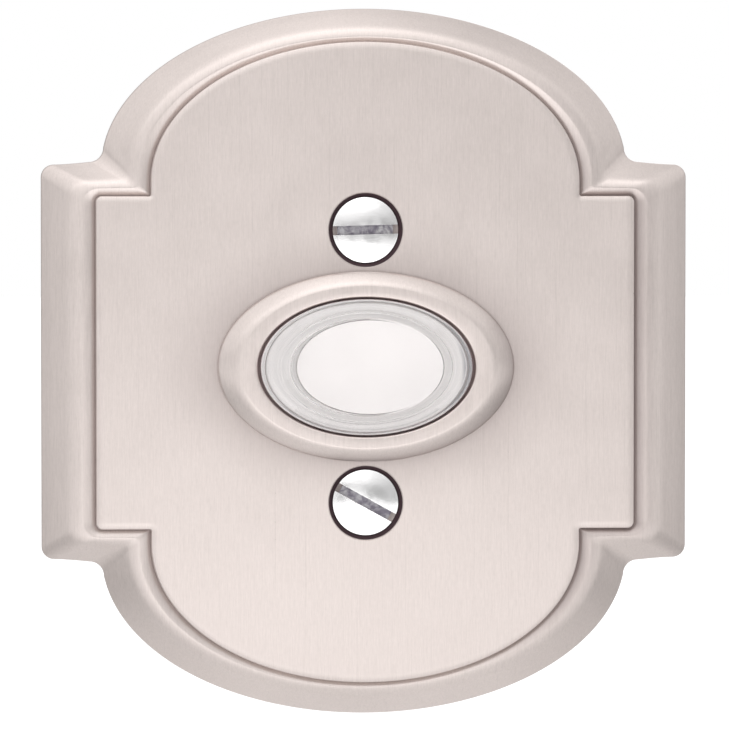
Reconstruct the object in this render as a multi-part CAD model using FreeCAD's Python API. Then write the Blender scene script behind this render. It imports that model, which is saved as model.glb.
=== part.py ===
import FreeCAD, Part
import math
import os

# Doorbell push button on a cast wall plate, in millimetres.
# Frame: Z is up, X is to the right and the front faces -Y. The origin is the middle of
# the plate's back, on the wall. A height is the distance from the wall's face towards
# the front, so a negative height lies inside the wall.

# Plate outline
plate_width = 76.0
plate_height = 83.0
tab_height = 46.8
arch_width = 61.9
arch_spring = 22.1
tab_corner_radius = 0.9
notch_radius = 1.5

# Moulding round the plate, as widths from the outer edge to the raised field
tab_moulding = 6.25
arch_moulding = 5.75
end_moulding = 3.85
ridge_share = 0.74
crest_share = 0.1
crest_fall = 0.08
cove_steps = 3
rim_height = 1.5
ridge_height = 4.2
groove_height = 3.85
field_height = 5.0
field_edge_radius = 0.35
field_corner_radius = 0.45
field_notch_radius = 0.15

# Hollow back
cavity_share = 0.62
cavity_depth = 2.0
cavity_draft_share = 0.06
screw_boss_radius = 4.8

# How far the button and the screws sit below the plate's middle
button_drop = 0.45

# Wall screws and their countersunk holes
wall_screw_spacing = 32.0
wall_screw_length = 25.0
head_radius = 3.9
head_rim = 0.2
slot_width = 1.06
slot_depth = 1.1
neck_radius = 1.85
thread_radius = 2.085
point_length = 4.2
hole_clearance = 0.27
countersink_gap = 0.43
countersink_wall = 0.45
top_slot_angle = 1.5
bottom_slot_angle = -29.0

# Every oval is this much wider than it is high. Its size is half its height.
oval_ratio = 1.56

# Bezel ring
bezel_size = 11.13
bezel_height = 2.2
bezel_foot = 0.3
bezel_round = 1.55
bezel_steps = 4
opening_size = 8.17
opening_edge = 0.2
lip_thickness = 1.6
skirt_wall = 1.0
skirt_fit = 0.1

# Button
button_travel = 1.5
lens_proud = 0.3
lens_gap = 0.22
lens_edge = 0.3
flange_overlap = 0.5
flange_thickness = 1.0
window_size = 5.85
window_thickness = 0.6
valley_size = 7.05
valley_depth = 0.5
valley_slope = 0.2
disc_size = 5.5
disc_thickness = 0.8
disc_offset = 0.4
pocket_gap = 0.08
carrier_thickness = 1.2
carrier_gap = 0.35
guide_gap = 0.25

# Stem, contacts and spring
stem_length = 6.6
stem_core_radius = 2.4
stem_rib_reach = 4.0
stem_rib_thickness = 1.2
pin_radius = 1.9
pin_fit = 0.06
pin_end_margin = 0.7
bridge_length = 13.2
bridge_width = 4.8
bridge_thickness = 0.4
spring_room = 4.4
spring_radius = 2.9
spring_wire_radius = 0.22
spring_turns = 4
wire_sides = 6
contact_offset = 5.0
contact_gap = 0.02
contact_radius = 1.3
contact_crown_radius = 0.6
contact_dome = 0.45
rivet_radius = 0.9
rivet_tail_radius = 1.5
rivet_tail_height = 0.5

# Housing and terminal board
housing_wall = 1.2
housing_step = 0.3
housing_flange_margin = 0.5
ear_length = 45.0
ear_width = 7.4
ear_thickness = 1.6
ear_screw_offset = 19.4
ear_screw_radius = 1.25
ear_screw_head_radius = 2.3
ear_screw_grip = 2.2
board_thickness = 1.6
board_screw_offset = 11.4
board_screw_radius = 1.0
board_screw_length = 6.0
board_screw_head_radius = 1.9
board_screw_head_height = 1.3
board_post_radius = 2.1
board_post_height = 6.8
board_web_thickness = 1.4

# Terminals
terminal_screw_x = 6.0
terminal_screw_z = -5.2
terminal_plate_width = 6.6
terminal_plate_thickness = 0.8
terminal_end_margin = 2.6
terminal_screw_radius = 1.5
terminal_head_radius = 2.8
terminal_head_height = 1.8
washer_radius = 3.1
washer_thickness = 0.6
washer_fit = 0.15
small_slot_share = 0.36
small_slot_angle = 30.0
crown_share = 0.68

# Lamp and resistor
lamp_z = 6.5
lamp_radius = 1.45
lamp_height = 5.2
lamp_rim_radius = 1.65
lamp_rim_height = 0.6
lamp_stand = 1.0
lead_radius = 0.25
lead_spacing = 1.3
resistor_z = -6.3
resistor_radius = 0.85
resistor_cap_radius = 1.05
resistor_length = 4.6
resistor_cap_length = 1.0
resistor_lead_reach = 3.5
resistor_stand = 0.3

# Worked out from the sizes above
bezel_front = field_height + bezel_height
lip_back = bezel_front - lip_thickness
lens_front = bezel_front + lens_proud
lens_size = opening_size - lens_gap
flange_size = lens_size + flange_overlap
bore_size = flange_size + guide_gap
skirt_size = bore_size + skirt_wall
flange_back = lip_back - flange_thickness
window_back = lens_front - window_thickness
disc_back = window_back - disc_thickness
carrier_back = flange_back - carrier_thickness
carrier_size = bore_size - carrier_gap
stem_end = carrier_back - stem_length
bridge_back = stem_end - bridge_thickness
board_front = bridge_back - spring_room
board_back = board_front - board_thickness
contact_top = bridge_back - button_travel - contact_gap
housing_front = cavity_depth
housing_size = bore_size + housing_wall
ear_back = housing_front - ear_thickness
terminal_back = board_back - terminal_plate_thickness
washer_back = terminal_back - washer_thickness
screw_hole_radius = thread_radius + hole_clearance
countersink_radius = head_radius + countersink_gap
seat_height = field_height - countersink_wall - countersink_gap
head_top = seat_height + head_rim
wall_screw_z = wall_screw_spacing / 2

# A curve's handle for a quarter of an ellipse, as a share of its half axis
QUARTER = 4 / 3 * (math.sqrt(2) - 1)
TOWARDS_FRONT = FreeCAD.Vector(0, -1, 0)


def at(x, z, height):
    return FreeCAD.Vector(x, -height, z)


def rod(radius, low, high, x=0.0, z=0.0):
    """A round bar between two heights."""
    return Part.makeCylinder(radius, high - low, at(x, z, low), TOWARDS_FRONT)


def cone(low_radius, high_radius, low, high, x=0.0, z=0.0):
    """A round bar that tapers between two heights."""
    return Part.makeCone(low_radius, high_radius, high - low, at(x, z, low), TOWARDS_FRONT)


def turned(profile, x=0.0, z=0.0):
    """A solid turned about the line through x and z from (radius, height) points."""
    points = [at(x + radius, z, height) for radius, height in profile]
    face = Part.Face(Part.makePolygon(points + points[:1]))
    return face.revolve(at(x, z, 0), TOWARDS_FRONT, 360)


def prism(wire, depth):
    """A flat outline pushed back into the wall by a depth."""
    return Part.Face(wire).extrude(FreeCAD.Vector(0, depth, 0))


def fused(first, *others):
    return first.multiFuse(list(others)).removeSplitter()


def oval_wire(size, height, x=0.0):
    curve = Part.Ellipse(at(x + size * oval_ratio, 0, height), at(x, size, height), at(x, 0, height))
    return Part.Wire(curve.toShape())


def oval(size, low, high, x=0.0):
    """A straight-sided oval block between two heights."""
    return prism(oval_wire(size, high, x), high - low)


def oval_loft(profile):
    """An oval solid through (size, height) sections, straight between them."""
    return Part.makeLoft([oval_wire(size, height) for size, height in profile], True, True)


def quarter_round(size, height, inset, rise, steps):
    """Oval sections over a rounded outer edge, from its foot to its top."""
    angles = [math.pi / 2 * i / steps for i in range(steps + 1)]
    return [(size - inset * (1 - math.cos(a)), height + rise * math.sin(a)) for a in angles]


def slot_wire(length, width, height, x=0.0, z=0.0):
    """An outline with two round ends, its length along X."""
    reach = (length - width) / 2
    r = width / 2
    a, b = at(x - reach, z + r, height), at(x + reach, z + r, height)
    c, d = at(x + reach, z - r, height), at(x - reach, z - r, height)
    right = Part.Arc(b, at(x + reach + r, z, height), c).toShape()
    left = Part.Arc(d, at(x - reach - r, z, height), a).toShape()
    return Part.Wire([Part.makeLine(a, b), right, Part.makeLine(c, d), left])


def slot_tool(width, radius, low, high, angle, x=0.0, z=0.0):
    """The bar that cuts a screw's slot, turned by an angle about the screw."""
    bar = Part.makeBox(2 * radius + 1, high - low, width, FreeCAD.Vector(-radius - 0.5, -high, -width / 2))
    bar.rotate(FreeCAD.Vector(0, 0, 0), FreeCAD.Vector(0, -1, 0), angle)
    bar.translate(FreeCAD.Vector(x, 0, z))
    return bar


def round_corner(corner, before, after, radius):
    """The arc and its two ends that round a corner between two directions."""
    start = corner + before * radius
    end = corner + after * radius
    middle = corner + (before + after) * (radius * (1 - math.sqrt(0.5)))
    return Part.Arc(start, middle, end).toShape(), start, end


def plate_wire(share, height):
    """The plate's outline, moved in by a share of the moulding's width."""
    half_width = plate_width / 2 - tab_moulding * share
    half_height = plate_height / 2 - end_moulding * share
    tab = tab_height / 2 - end_moulding * share
    arch = arch_width / 2 - arch_moulding * share
    corner_radius = tab_corner_radius + (field_corner_radius - tab_corner_radius) * share
    notch = field_notch_radius + (notch_radius - field_notch_radius) * max(0.0, 1 - 2 * share)
    spring = arch_spring + QUARTER * (half_height - arch_spring)

    def quarter(side, end):
        """One quarter, from the tab's side to the top of the arch."""
        out, up = at(side, 0, 0), at(0, end, 0)
        tab_corner = at(side * half_width, end * tab, height)
        notch_corner = at(side * arch, end * tab, height)
        tab_arc, tab_start, tab_end = round_corner(tab_corner, up * -1, out * -1, corner_radius)
        notch_arc, notch_start, notch_end = round_corner(notch_corner, out, up, notch)
        poles = [
            notch_end,
            at(side * arch, end * spring, height),
            at(side * QUARTER * arch, end * half_height, height),
            at(0, end * half_height, height),
        ]
        curve = Part.BezierCurve()
        curve.setPoles(poles)
        tab_line = Part.makeLine(tab_end, notch_start)
        return [tab_arc, tab_line, notch_arc, curve.toShape()], tab_start

    edges = []
    starts = []
    for side, end in ((1, 1), (-1, 1), (-1, -1), (1, -1)):
        quarter_edges, start = quarter(side, end)
        edges += quarter_edges
        starts.append(start)
    edges.append(Part.makeLine(starts[1], starts[2]))
    edges.append(Part.makeLine(starts[3], starts[0]))
    return Part.Wire(Part.__sortEdges__(edges))


def moulding_sections():
    """The moulding's (share, height) steps, from the wall to the raised field."""
    crest_rise = (ridge_height - rim_height) * crest_fall
    steps = [(0.0, 0.0), (0.0, rim_height)]
    steps.append((ridge_share - crest_share, ridge_height - crest_rise))
    steps.append((ridge_share, ridge_height))
    for i in range(1, cove_steps + 1):
        turn = math.pi / 2 * i / cove_steps
        share = ridge_share + (1 - ridge_share) * (1 - math.cos(turn))
        steps.append((share, ridge_height - (ridge_height - groove_height) * math.sin(turn)))
    edge_share = field_edge_radius / end_moulding
    for turn in (0.0, math.pi / 2):
        share = 1 + edge_share * (1 - math.cos(turn))
        steps.append((share, field_height - field_edge_radius * (1 - math.sin(turn))))
    return steps


def wall_screw_hole(z):
    """The clearance hole, its countersink and the short wall above the countersink."""
    rim = field_height - countersink_wall
    slope = countersink_radius - screw_hole_radius
    return turned([
        (0, -1),
        (screw_hole_radius, -1),
        (screw_hole_radius, rim - slope),
        (countersink_radius, rim),
        (countersink_radius, field_height + 1),
        (0, field_height + 1),
    ], 0, z)


def rose_plate():
    """The cast plate, made about the button's middle: moulding, field, hollow back and bosses."""
    body = Part.makeLoft([plate_wire(s, h) for s, h in moulding_sections()], True, True)
    mouth = plate_wire(cavity_share, 0)
    floor = plate_wire(cavity_share + cavity_draft_share, cavity_depth)
    cavity = Part.makeLoft([mouth, floor], True, True)
    for outline in (body, cavity):
        outline.translate(at(0, button_drop, 0))
    for end in (-1, 1):
        cavity = cavity.cut(rod(screw_boss_radius, 0, cavity_depth, 0, end * wall_screw_z))
    body = body.cut(cavity)
    body = body.cut(oval(skirt_size + skirt_fit, -1, field_height + 1))
    for end in (-1, 1):
        body = body.cut(wall_screw_hole(end * wall_screw_z))
    for side in (-1, 1):
        tapped_end = cavity_depth + ear_screw_grip
        body = body.cut(rod(ear_screw_radius, cavity_depth - 0.1, tapped_end, side * ear_screw_offset))
    return body


def bezel_ring():
    """The oval ring: rounded flange on the field, lip over the lens, skirt through the plate."""
    foot = field_height + bezel_foot
    rounded = quarter_round(bezel_size, foot, bezel_round, bezel_front - foot, bezel_steps)
    flange = oval_loft([(bezel_size, field_height)] + rounded)
    skirt = oval(skirt_size, housing_front, field_height + 0.5)
    body = fused(flange, skirt)
    body = body.cut(oval(bore_size, housing_front - 1, lip_back))
    body = body.cut(oval(opening_size, lip_back - 1, bezel_front + 1))
    mouth = oval_loft([
        (opening_size, bezel_front - opening_edge),
        (opening_size + opening_edge, bezel_front),
        (opening_size + 2 * opening_edge, bezel_front + opening_edge),
    ])
    return body.cut(mouth)


def button_lens():
    """The clear cap: a groove round its window, a retaining flange, a pocket for the white disc."""
    cap = oval_loft([
        (lens_size, flange_back),
        (lens_size, lens_front - lens_edge),
        (lens_size - lens_edge, lens_front),
    ])
    flange = oval(flange_size, flange_back, lip_back)
    body = fused(cap, flange)
    floor = lens_front - valley_depth
    valley = oval_loft([(valley_size - valley_slope, floor), (valley_size, lens_front)])
    window = oval_loft([(window_size + valley_slope, floor), (window_size, lens_front)])
    body = body.cut(valley.cut(window))
    return body.cut(oval(disc_size + pocket_gap, flange_back - 1, window_back, disc_offset))


def diffuser_disc():
    return oval(disc_size, disc_back, window_back, disc_offset)


def plunger():
    """The carrier under the lens, its ribbed stem and the pin that guides it."""
    seat = oval(disc_size, carrier_back, disc_back, disc_offset)
    carrier = oval(carrier_size, carrier_back, flange_back)
    stem = rod(stem_core_radius, stem_end, carrier_back + 0.1)
    ribs = []
    for angle in (0, 90):
        rib = Part.makeBox(
            2 * stem_rib_reach, stem_length + 0.1, stem_rib_thickness,
            FreeCAD.Vector(-stem_rib_reach, -carrier_back - 0.1, -stem_rib_thickness / 2),
        )
        rib.rotate(FreeCAD.Vector(0, 0, 0), FreeCAD.Vector(0, 1, 0), angle)
        ribs.append(rib)
    pin = rod(pin_radius, board_front - pin_end_margin, stem_end + 0.1)
    return fused(seat, carrier, stem, pin, *ribs)


def contact_bridge():
    strip = prism(slot_wire(bridge_length, bridge_width, stem_end), bridge_thickness)
    return strip.cut(rod(pin_radius + pin_fit, bridge_back - 1, stem_end + 1))


def return_spring():
    """A wire coil between the terminal board and the contact bridge, its wire a few-sided bar."""
    rise = spring_room - 2 * spring_wire_radius
    helix = Part.makeHelix(rise / spring_turns, rise, spring_radius)
    corners = []
    for i in range(wire_sides):
        turn = 2 * math.pi * (i + 0.5) / wire_sides
        out = spring_radius + spring_wire_radius * math.cos(turn)
        corners.append(FreeCAD.Vector(out, 0, spring_wire_radius * math.sin(turn)))
    profile = Part.makePolygon(corners + corners[:1])
    coil = Part.Wire(helix.Edges).makePipeShell([profile], True, True)
    coil.rotate(FreeCAD.Vector(0, 0, 0), FreeCAD.Vector(1, 0, 0), 90)
    coil.translate(at(0, 0, board_front + spring_wire_radius))
    return coil


def switch_housing():
    """The oval cup behind the plate, its flange with two ears and its two screw posts."""
    barrel = oval(housing_size, board_front, housing_front)
    flange = oval(housing_size + housing_flange_margin, ear_back, housing_front)
    ears = prism(slot_wire(ear_length, ear_width, housing_front), ear_thickness)
    body = fused(barrel, flange, ears)
    shelf = board_front + board_post_height
    upper = oval(bore_size, shelf, housing_front + 1)
    lower = oval(bore_size - housing_step, board_front - 1, shelf)
    web_length = housing_size * oval_ratio - board_screw_offset
    for side in (-1, 1):
        x = side * board_screw_offset
        web_start = x if side > 0 else x - web_length
        web_corner = FreeCAD.Vector(web_start, -shelf, -board_web_thickness / 2)
        web = Part.makeBox(web_length, board_post_height, board_web_thickness, web_corner)
        lower = lower.cut(rod(board_post_radius, board_front, shelf, x)).cut(web)
    shell = body.cut(upper).cut(lower)
    for side in (-1, 1):
        x = side * board_screw_offset
        screw_tip = board_back + board_screw_length
        shell = shell.cut(rod(board_screw_radius, board_front - 1, screw_tip, x))
        ear_x = side * ear_screw_offset
        shell = shell.cut(rod(ear_screw_radius, ear_back - 1, housing_front + 1, ear_x))
        slope = ear_screw_head_radius - ear_screw_radius
        shell = shell.cut(cone(ear_screw_head_radius, ear_screw_radius, ear_back, ear_back + slope, ear_x))
    return shell


def terminal_board():
    """The board that closes the housing, drilled for all that it carries."""
    board = oval(housing_size, board_back, board_front)
    low, high = board_back - 1, board_front + 1
    board = board.cut(rod(pin_radius + pin_fit, low, high))
    for side in (-1, 1):
        board = board.cut(rod(rivet_radius, low, high, side * contact_offset))
        board = board.cut(rod(board_screw_radius, low, high, side * board_screw_offset))
        board = board.cut(rod(terminal_screw_radius, low, high, side * terminal_screw_x, terminal_screw_z))
    return board


def contact_rivet(side):
    """A domed post on the board, riveted over on the terminal plate."""
    return turned([
        (0, terminal_back - rivet_tail_height),
        (rivet_tail_radius, terminal_back - rivet_tail_height),
        (rivet_tail_radius, terminal_back),
        (rivet_radius, terminal_back),
        (rivet_radius, board_front),
        (contact_radius, board_front),
        (contact_radius, contact_top - contact_dome),
        (contact_crown_radius, contact_top),
        (0, contact_top),
    ], side * contact_offset)


def terminal_plate(side):
    """The brass plate under the terminal screw, joined to the contact by its rivet."""
    x, z = side * terminal_screw_x, terminal_screw_z
    half = terminal_plate_width / 2
    low = z - terminal_end_margin
    outline = Part.makePolygon([
        at(x - half, low, board_back),
        at(x + half, low, board_back),
        at(x + half, 0, board_back),
        at(x + half - 1.2, 2.2, board_back),
        at(x - half + 1.2, 2.2, board_back),
        at(x - half, 0, board_back),
        at(x - half, low, board_back),
    ])
    plate = prism(outline, terminal_plate_thickness)
    plate = plate.cut(rod(terminal_screw_radius, terminal_back - 1, board_back + 1, x, z))
    return plate.cut(rod(rivet_radius, terminal_back - 1, board_back + 1, side * contact_offset))


def terminal_washer(side):
    x, z = side * terminal_screw_x, terminal_screw_z
    disc = rod(washer_radius, washer_back, terminal_back, x, z)
    return disc.cut(rod(terminal_screw_radius + washer_fit, washer_back - 1, terminal_back + 1, x, z))


def pan_head(radius, height, seat, x, z):
    """A rounded screw head that stands back from its seat, with a slot across it."""
    tip = seat - height
    head = turned([
        (0, seat),
        (radius, seat),
        (radius, seat - height / 2),
        (radius * crown_share, tip),
        (0, tip),
    ], x, z)
    width = radius * small_slot_share
    return head.cut(slot_tool(width, radius, tip - 0.1, tip + height / 2, small_slot_angle, x, z))


def terminal_screw(side):
    x, z = side * terminal_screw_x, terminal_screw_z
    shank = rod(terminal_screw_radius, washer_back - 0.1, board_front - 0.2, x, z)
    return fused(pan_head(terminal_head_radius, terminal_head_height, washer_back, x, z), shank)


def board_screw(side):
    x = side * board_screw_offset
    shank = rod(board_screw_radius, board_back - 0.1, board_back + board_screw_length, x)
    return fused(pan_head(board_screw_head_radius, board_screw_head_height, board_back, x, 0), shank)


def housing_screw(side):
    """A countersunk screw through the housing's ear into the plate."""
    x = side * ear_screw_offset
    slope = ear_screw_head_radius - ear_screw_radius
    head = cone(ear_screw_head_radius, ear_screw_radius, ear_back, ear_back + slope, x)
    shank = rod(ear_screw_radius, ear_back, cavity_depth + ear_screw_grip - 0.2, x)
    body = fused(head, shank)
    width = ear_screw_head_radius * small_slot_share
    slot_floor = ear_back + slope / 2
    return body.cut(slot_tool(width, ear_screw_head_radius, ear_back - 0.1, slot_floor, small_slot_angle, x))


def lamp():
    """A small round-ended lamp standing on its two wires."""
    foot = board_front + lamp_stand
    tip = foot + lamp_height
    bulb = turned([
        (0, foot),
        (lamp_rim_radius, foot),
        (lamp_rim_radius, foot + lamp_rim_height),
        (lamp_radius, foot + lamp_rim_height),
        (lamp_radius, tip - lamp_radius),
        (lamp_radius * math.sqrt(0.5), tip - lamp_radius * (1 - math.sqrt(0.5))),
        (0, tip),
    ], 0, lamp_z)
    wires = [rod(lead_radius, board_front, foot + 0.1, side * lead_spacing / 2, lamp_z) for side in (-1, 1)]
    return fused(bulb, *wires)


def lamp_resistor():
    """A resistor lying along X, each wire bent down to the board."""
    height = board_front + resistor_stand + resistor_cap_radius
    along = FreeCAD.Vector(1, 0, 0)
    start = at(-resistor_length / 2, resistor_z, height)
    pieces = [Part.makeCylinder(resistor_radius, resistor_length, start, along)]
    for side in (-1, 1):
        middle = side * (resistor_length - resistor_cap_length) / 2
        cap_start = at(middle - resistor_cap_length / 2, resistor_z, height)
        pieces.append(Part.makeCylinder(resistor_cap_radius, resistor_cap_length, cap_start, along))
        reach = resistor_lead_reach - resistor_length / 2 + lead_radius
        wire_start = at(side * resistor_length / 2, resistor_z, height)
        pieces.append(Part.makeCylinder(lead_radius, reach, wire_start, along * side))
        pieces.append(rod(lead_radius, board_front, height, side * resistor_lead_reach, resistor_z))
    return fused(*pieces)


def wall_screw(end, angle):
    """A slotted countersunk wood screw: neck in the plate, threaded part in the wall."""
    z = end * wall_screw_z
    cone_end = seat_height - (head_radius - neck_radius)
    tip = head_top - wall_screw_length
    body = turned([
        (0, head_top),
        (head_radius, head_top),
        (head_radius, seat_height),
        (neck_radius, cone_end),
        (neck_radius, 0),
        (thread_radius, 0),
        (thread_radius, tip + point_length),
        (0, tip),
    ], 0, z)
    return body.cut(slot_tool(slot_width, head_radius, head_top - slot_depth, head_top + 1, angle, 0, z))


def nodes():
    """Every piece by its name, lowered from the button's middle to the plate's."""
    pieces = {
        "rose_plate": rose_plate(),
        "bezel_ring": bezel_ring(),
        "button_lens": button_lens(),
        "diffuser_disc": diffuser_disc(),
        "plunger": plunger(),
        "contact_bridge": contact_bridge(),
        "return_spring": return_spring(),
        "switch_housing": switch_housing(),
        "terminal_board": terminal_board(),
        "lamp": lamp(),
        "lamp_resistor": lamp_resistor(),
        "wall_screw_top": wall_screw(1, top_slot_angle),
        "wall_screw_bottom": wall_screw(-1, bottom_slot_angle),
    }
    for side, word in ((-1, "left"), (1, "right")):
        pieces["contact_rivet_" + word] = contact_rivet(side)
        pieces["terminal_plate_" + word] = terminal_plate(side)
        pieces["terminal_washer_" + word] = terminal_washer(side)
        pieces["terminal_screw_" + word] = terminal_screw(side)
        pieces["board_screw_" + word] = board_screw(side)
        pieces["housing_screw_" + word] = housing_screw(side)
    for piece in pieces.values():
        piece.translate(at(0, -button_drop, 0))
    return pieces


def main():
    os.makedirs("parts", exist_ok=True)
    for name, shape in nodes().items():
        solids = len(shape.Solids)
        print(f"{name}: solids {solids}, valid {shape.isValid()}, volume {shape.Volume:.1f} mm3")
        shape.exportStep(os.path.join("parts", name + ".step"))


main()
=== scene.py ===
"""Doorbell push button: a cast wall plate, an oval bezel, a lit button and the switch behind it.

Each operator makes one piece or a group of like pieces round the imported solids, in metres and in
their own frame: +Z is up, +X is to the right and the front faces -Y. A height is the distance
from the wall's face towards the front.
"""
import bmesh
import bpy
import math
from mathutils import Matrix, Vector


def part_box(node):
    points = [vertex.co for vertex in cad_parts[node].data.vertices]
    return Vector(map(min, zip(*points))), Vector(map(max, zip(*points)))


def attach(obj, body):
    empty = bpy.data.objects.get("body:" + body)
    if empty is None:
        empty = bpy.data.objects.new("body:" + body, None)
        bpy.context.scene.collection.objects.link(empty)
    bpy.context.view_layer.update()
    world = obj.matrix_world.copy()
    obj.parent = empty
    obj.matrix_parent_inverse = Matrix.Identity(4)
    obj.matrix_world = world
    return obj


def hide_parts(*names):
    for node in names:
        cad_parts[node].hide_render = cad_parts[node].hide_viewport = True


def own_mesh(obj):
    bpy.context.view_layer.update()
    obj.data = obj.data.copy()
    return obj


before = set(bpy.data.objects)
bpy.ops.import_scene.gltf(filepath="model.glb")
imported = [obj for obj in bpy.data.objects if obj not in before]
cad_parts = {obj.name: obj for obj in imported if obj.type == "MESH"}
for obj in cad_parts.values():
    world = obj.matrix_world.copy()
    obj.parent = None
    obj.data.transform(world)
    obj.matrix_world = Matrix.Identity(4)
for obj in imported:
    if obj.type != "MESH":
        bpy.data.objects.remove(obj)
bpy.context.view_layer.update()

bl_info = {
    "name": "Doorbell push button",
    "version": (1, 0, 0),
    "blender": (4, 5, 0),
    "location": "3D View > Sidebar > Push button",
    "description": "Builds the wall plate, the bezel, the lit button and the switch parts",
    "category": "Object",
}

MM = 0.001
FULL_TURN = 2 * math.pi
BLACK = (0.0, 0.0, 0.0)
WHITE = (1.0, 1.0, 1.0)

# How much light shows through the lens, by the millimetres from its middle
RING_LEVELS = ((5.20, 0.78), (5.45, 0.66), (5.67, 1.0), (5.90, 0.84), (6.14, 0.74), (6.50, 0.82), (6.90, 0.84),
               (7.12, 0.90), (7.35, 0.84), (7.50, 0.60), (7.62, 0.82), (7.77, 0.98), (7.90, 0.80), (7.98, 0.40))

# The resistor's rings of colour, each with its place across the body in millimetres
RESISTOR_BANDS = ((-1.7, (0.20, 0.07, 0.02)), (-0.8, (0.02, 0.02, 0.02)), (0.1, (0.55, 0.05, 0.03)),
                  (1.6, (0.70, 0.48, 0.12)))

# Radius and depth under the front, in millimetres, of the lens's stepped rings from its window outwards
LENS_STEPS = ((5.60, 0.0), (5.68, 0.05), (5.74, 0.13), (5.86, 0.13), (5.94, 0.03), (6.30, 0.03), (6.40, 0.10),
              (6.46, 0.24), (6.62, 0.26), (6.72, 0.16), (7.36, 0.12), (7.44, 0.16), (7.50, 0.26), (7.58, 0.26),
              (7.64, 0.14), (7.74, 0.10))

# How bright the surroundings are, by how far up and how far to the right a direction points
UPRIGHT_LEVELS = ((-1.0, 1.00), (-0.97, 1.55), (-0.6, 1.68), (-0.25, 2.15), (-0.1, 1.55), (0.1, 1.50),
                  (0.25, 1.92), (0.6, 1.75), (0.97, 1.98), (1.0, 1.90))
SIDEWAYS_LEVELS = ((-1.0, 0.52), (-0.6, 0.53), (-0.38, 0.56), (-0.12, 0.86), (0.0, 0.92), (0.10, 0.67),
                   (0.35, 0.34), (0.6, 0.37), (1.0, 0.50))

# Places and sizes that the solids give
plate_low, plate_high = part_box("rose_plate")
bezel_low, bezel_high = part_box("bezel_ring")
lens_low, lens_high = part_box("button_lens")
disc_low, disc_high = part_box("diffuser_disc")
screw_low, screw_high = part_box("wall_screw_top")
spring_low, spring_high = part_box("return_spring")
middle_z = (bezel_low.z + bezel_high.z) / 2
screw_drop = (screw_low.z + screw_high.z) / 2 - middle_z


def length(name, description, millimetres):
    """A size property, kept in metres."""
    return bpy.props.FloatProperty(
        name=name, description=description, default=millimetres * MM,
        subtype="DISTANCE", unit="LENGTH", precision=6,
    )


def portion(name, description, default):
    """A plain number, such as a share of another size."""
    return bpy.props.FloatProperty(name=name, description=description, default=default, min=0.0, max=4.0)


def angle(name, description, degrees):
    return bpy.props.FloatProperty(
        name=name, description=description, default=math.radians(degrees), subtype="ANGLE", unit="ROTATION",
    )


def number(name, description, default):
    return bpy.props.IntProperty(name=name, description=description, default=default, min=1)


def colour(name, description, default):
    return bpy.props.FloatVectorProperty(
        name=name, description=description, default=default, subtype="COLOR", size=3, min=0.0, max=1.0,
    )


class PlateSizes(bpy.types.PropertyGroup):
    tab_side: length("Tab half height", "Half the tab's height at its side", 23.2)
    tab_notch: length("Tab at notch", "Half the tab's height where it meets the arch", 23.5)
    arch_half: length("Arch half width", "Half the width of the arched part", 30.92)
    arch_spring: length("Arch spring", "Height above the middle where the arch begins to curve", 22.8)
    corner_radius: length("Tab corner", "Radius of the tab's outer corner", 1.5)
    notch_radius: length("Notch", "Radius of the hollow corner between the tab and the arch", 1.7)
    field_half_width: length("Field half width", "Half the width of the raised field at its tabs", 31.64)
    field_tab: length("Field tab", "Half the height of the field's tab", 19.58)
    field_arch: length("Field arch", "Half the width of the field's arched part", 25.2)
    field_spring: length("Field spring", "Height above the middle where the field's arch begins", 21.26)
    field_end: length("Field end", "Half the height of the raised field", 37.64)
    field_corner: length("Field corner", "Radius of the field's outer corner", 0.75)
    field_notch: length("Field notch", "Radius of the field's inner corner", 0.16)
    core_inset: length("Inset", "Distance from the field's outline to the one inside it", 1.5)
    edge_width: length("Edge width", "Width of the field's rounded edge", 0.16)
    ridge_corner: length("Ridge corner", "Radius of the ridge's outer corner", 2.0)
    ridge_notch: length("Ridge notch", "Radius of the ridge's inner corner", 0.5)
    rim_height: length("Rim", "Height of the moulding's outer edge", 1.5)
    rim_round: length("Rim rounding", "Radius of the moulding's outer edge", 0.35)
    ridge_height: length("Ridge", "Height of the moulding's ridge", 4.2)
    groove_height: length("Groove", "Height of the groove round the field", 3.9)
    ridge_share: portion("Ridge place", "Place of the ridge as a share of the moulding's width", 0.745)
    ridge_end: portion("Ridge at ends", "Place of the ridge at the top and the bottom, as a share", 0.85)
    edge_round: length("Field edge", "Height of the field's rounded edge", 0.16)
    edge_drop: length("Field dome", "How far the field drops towards its edge", 0.07)
    # Painted shade: the share of the moulding where the painted shade in the groove begins
    grime_share: portion("Painted shade", "Where the grime in the groove begins, as a share of the moulding", 0.55)
    cavity_share: portion("Hollow back", "Wall round the hollow back as a share of the moulding", 0.62)
    cavity_depth: length("Hollow depth", "Depth of the hollow back", 2.0)
    boss_radius: length("Boss", "Radius of the bosses round the screw holes", 4.8)
    hole_radius: length("Screw hole", "Radius of the wall screws' holes", 2.355)
    sink_radius: length("Countersink", "Radius of the recess round a screw's head", 4.33)
    sink_wall: length("Recess wall", "Height of the recess wall above the countersink", 0.45)
    ear_hole_radius: length("Tapped hole", "Radius of the tapped holes for the housing", 1.25)
    ear_hole_x: length("Tapped hole place", "Distance of the tapped holes from the middle", 19.4)
    ear_hole_depth: length("Tapped hole depth", "Depth of the tapped holes", 2.2)


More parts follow.
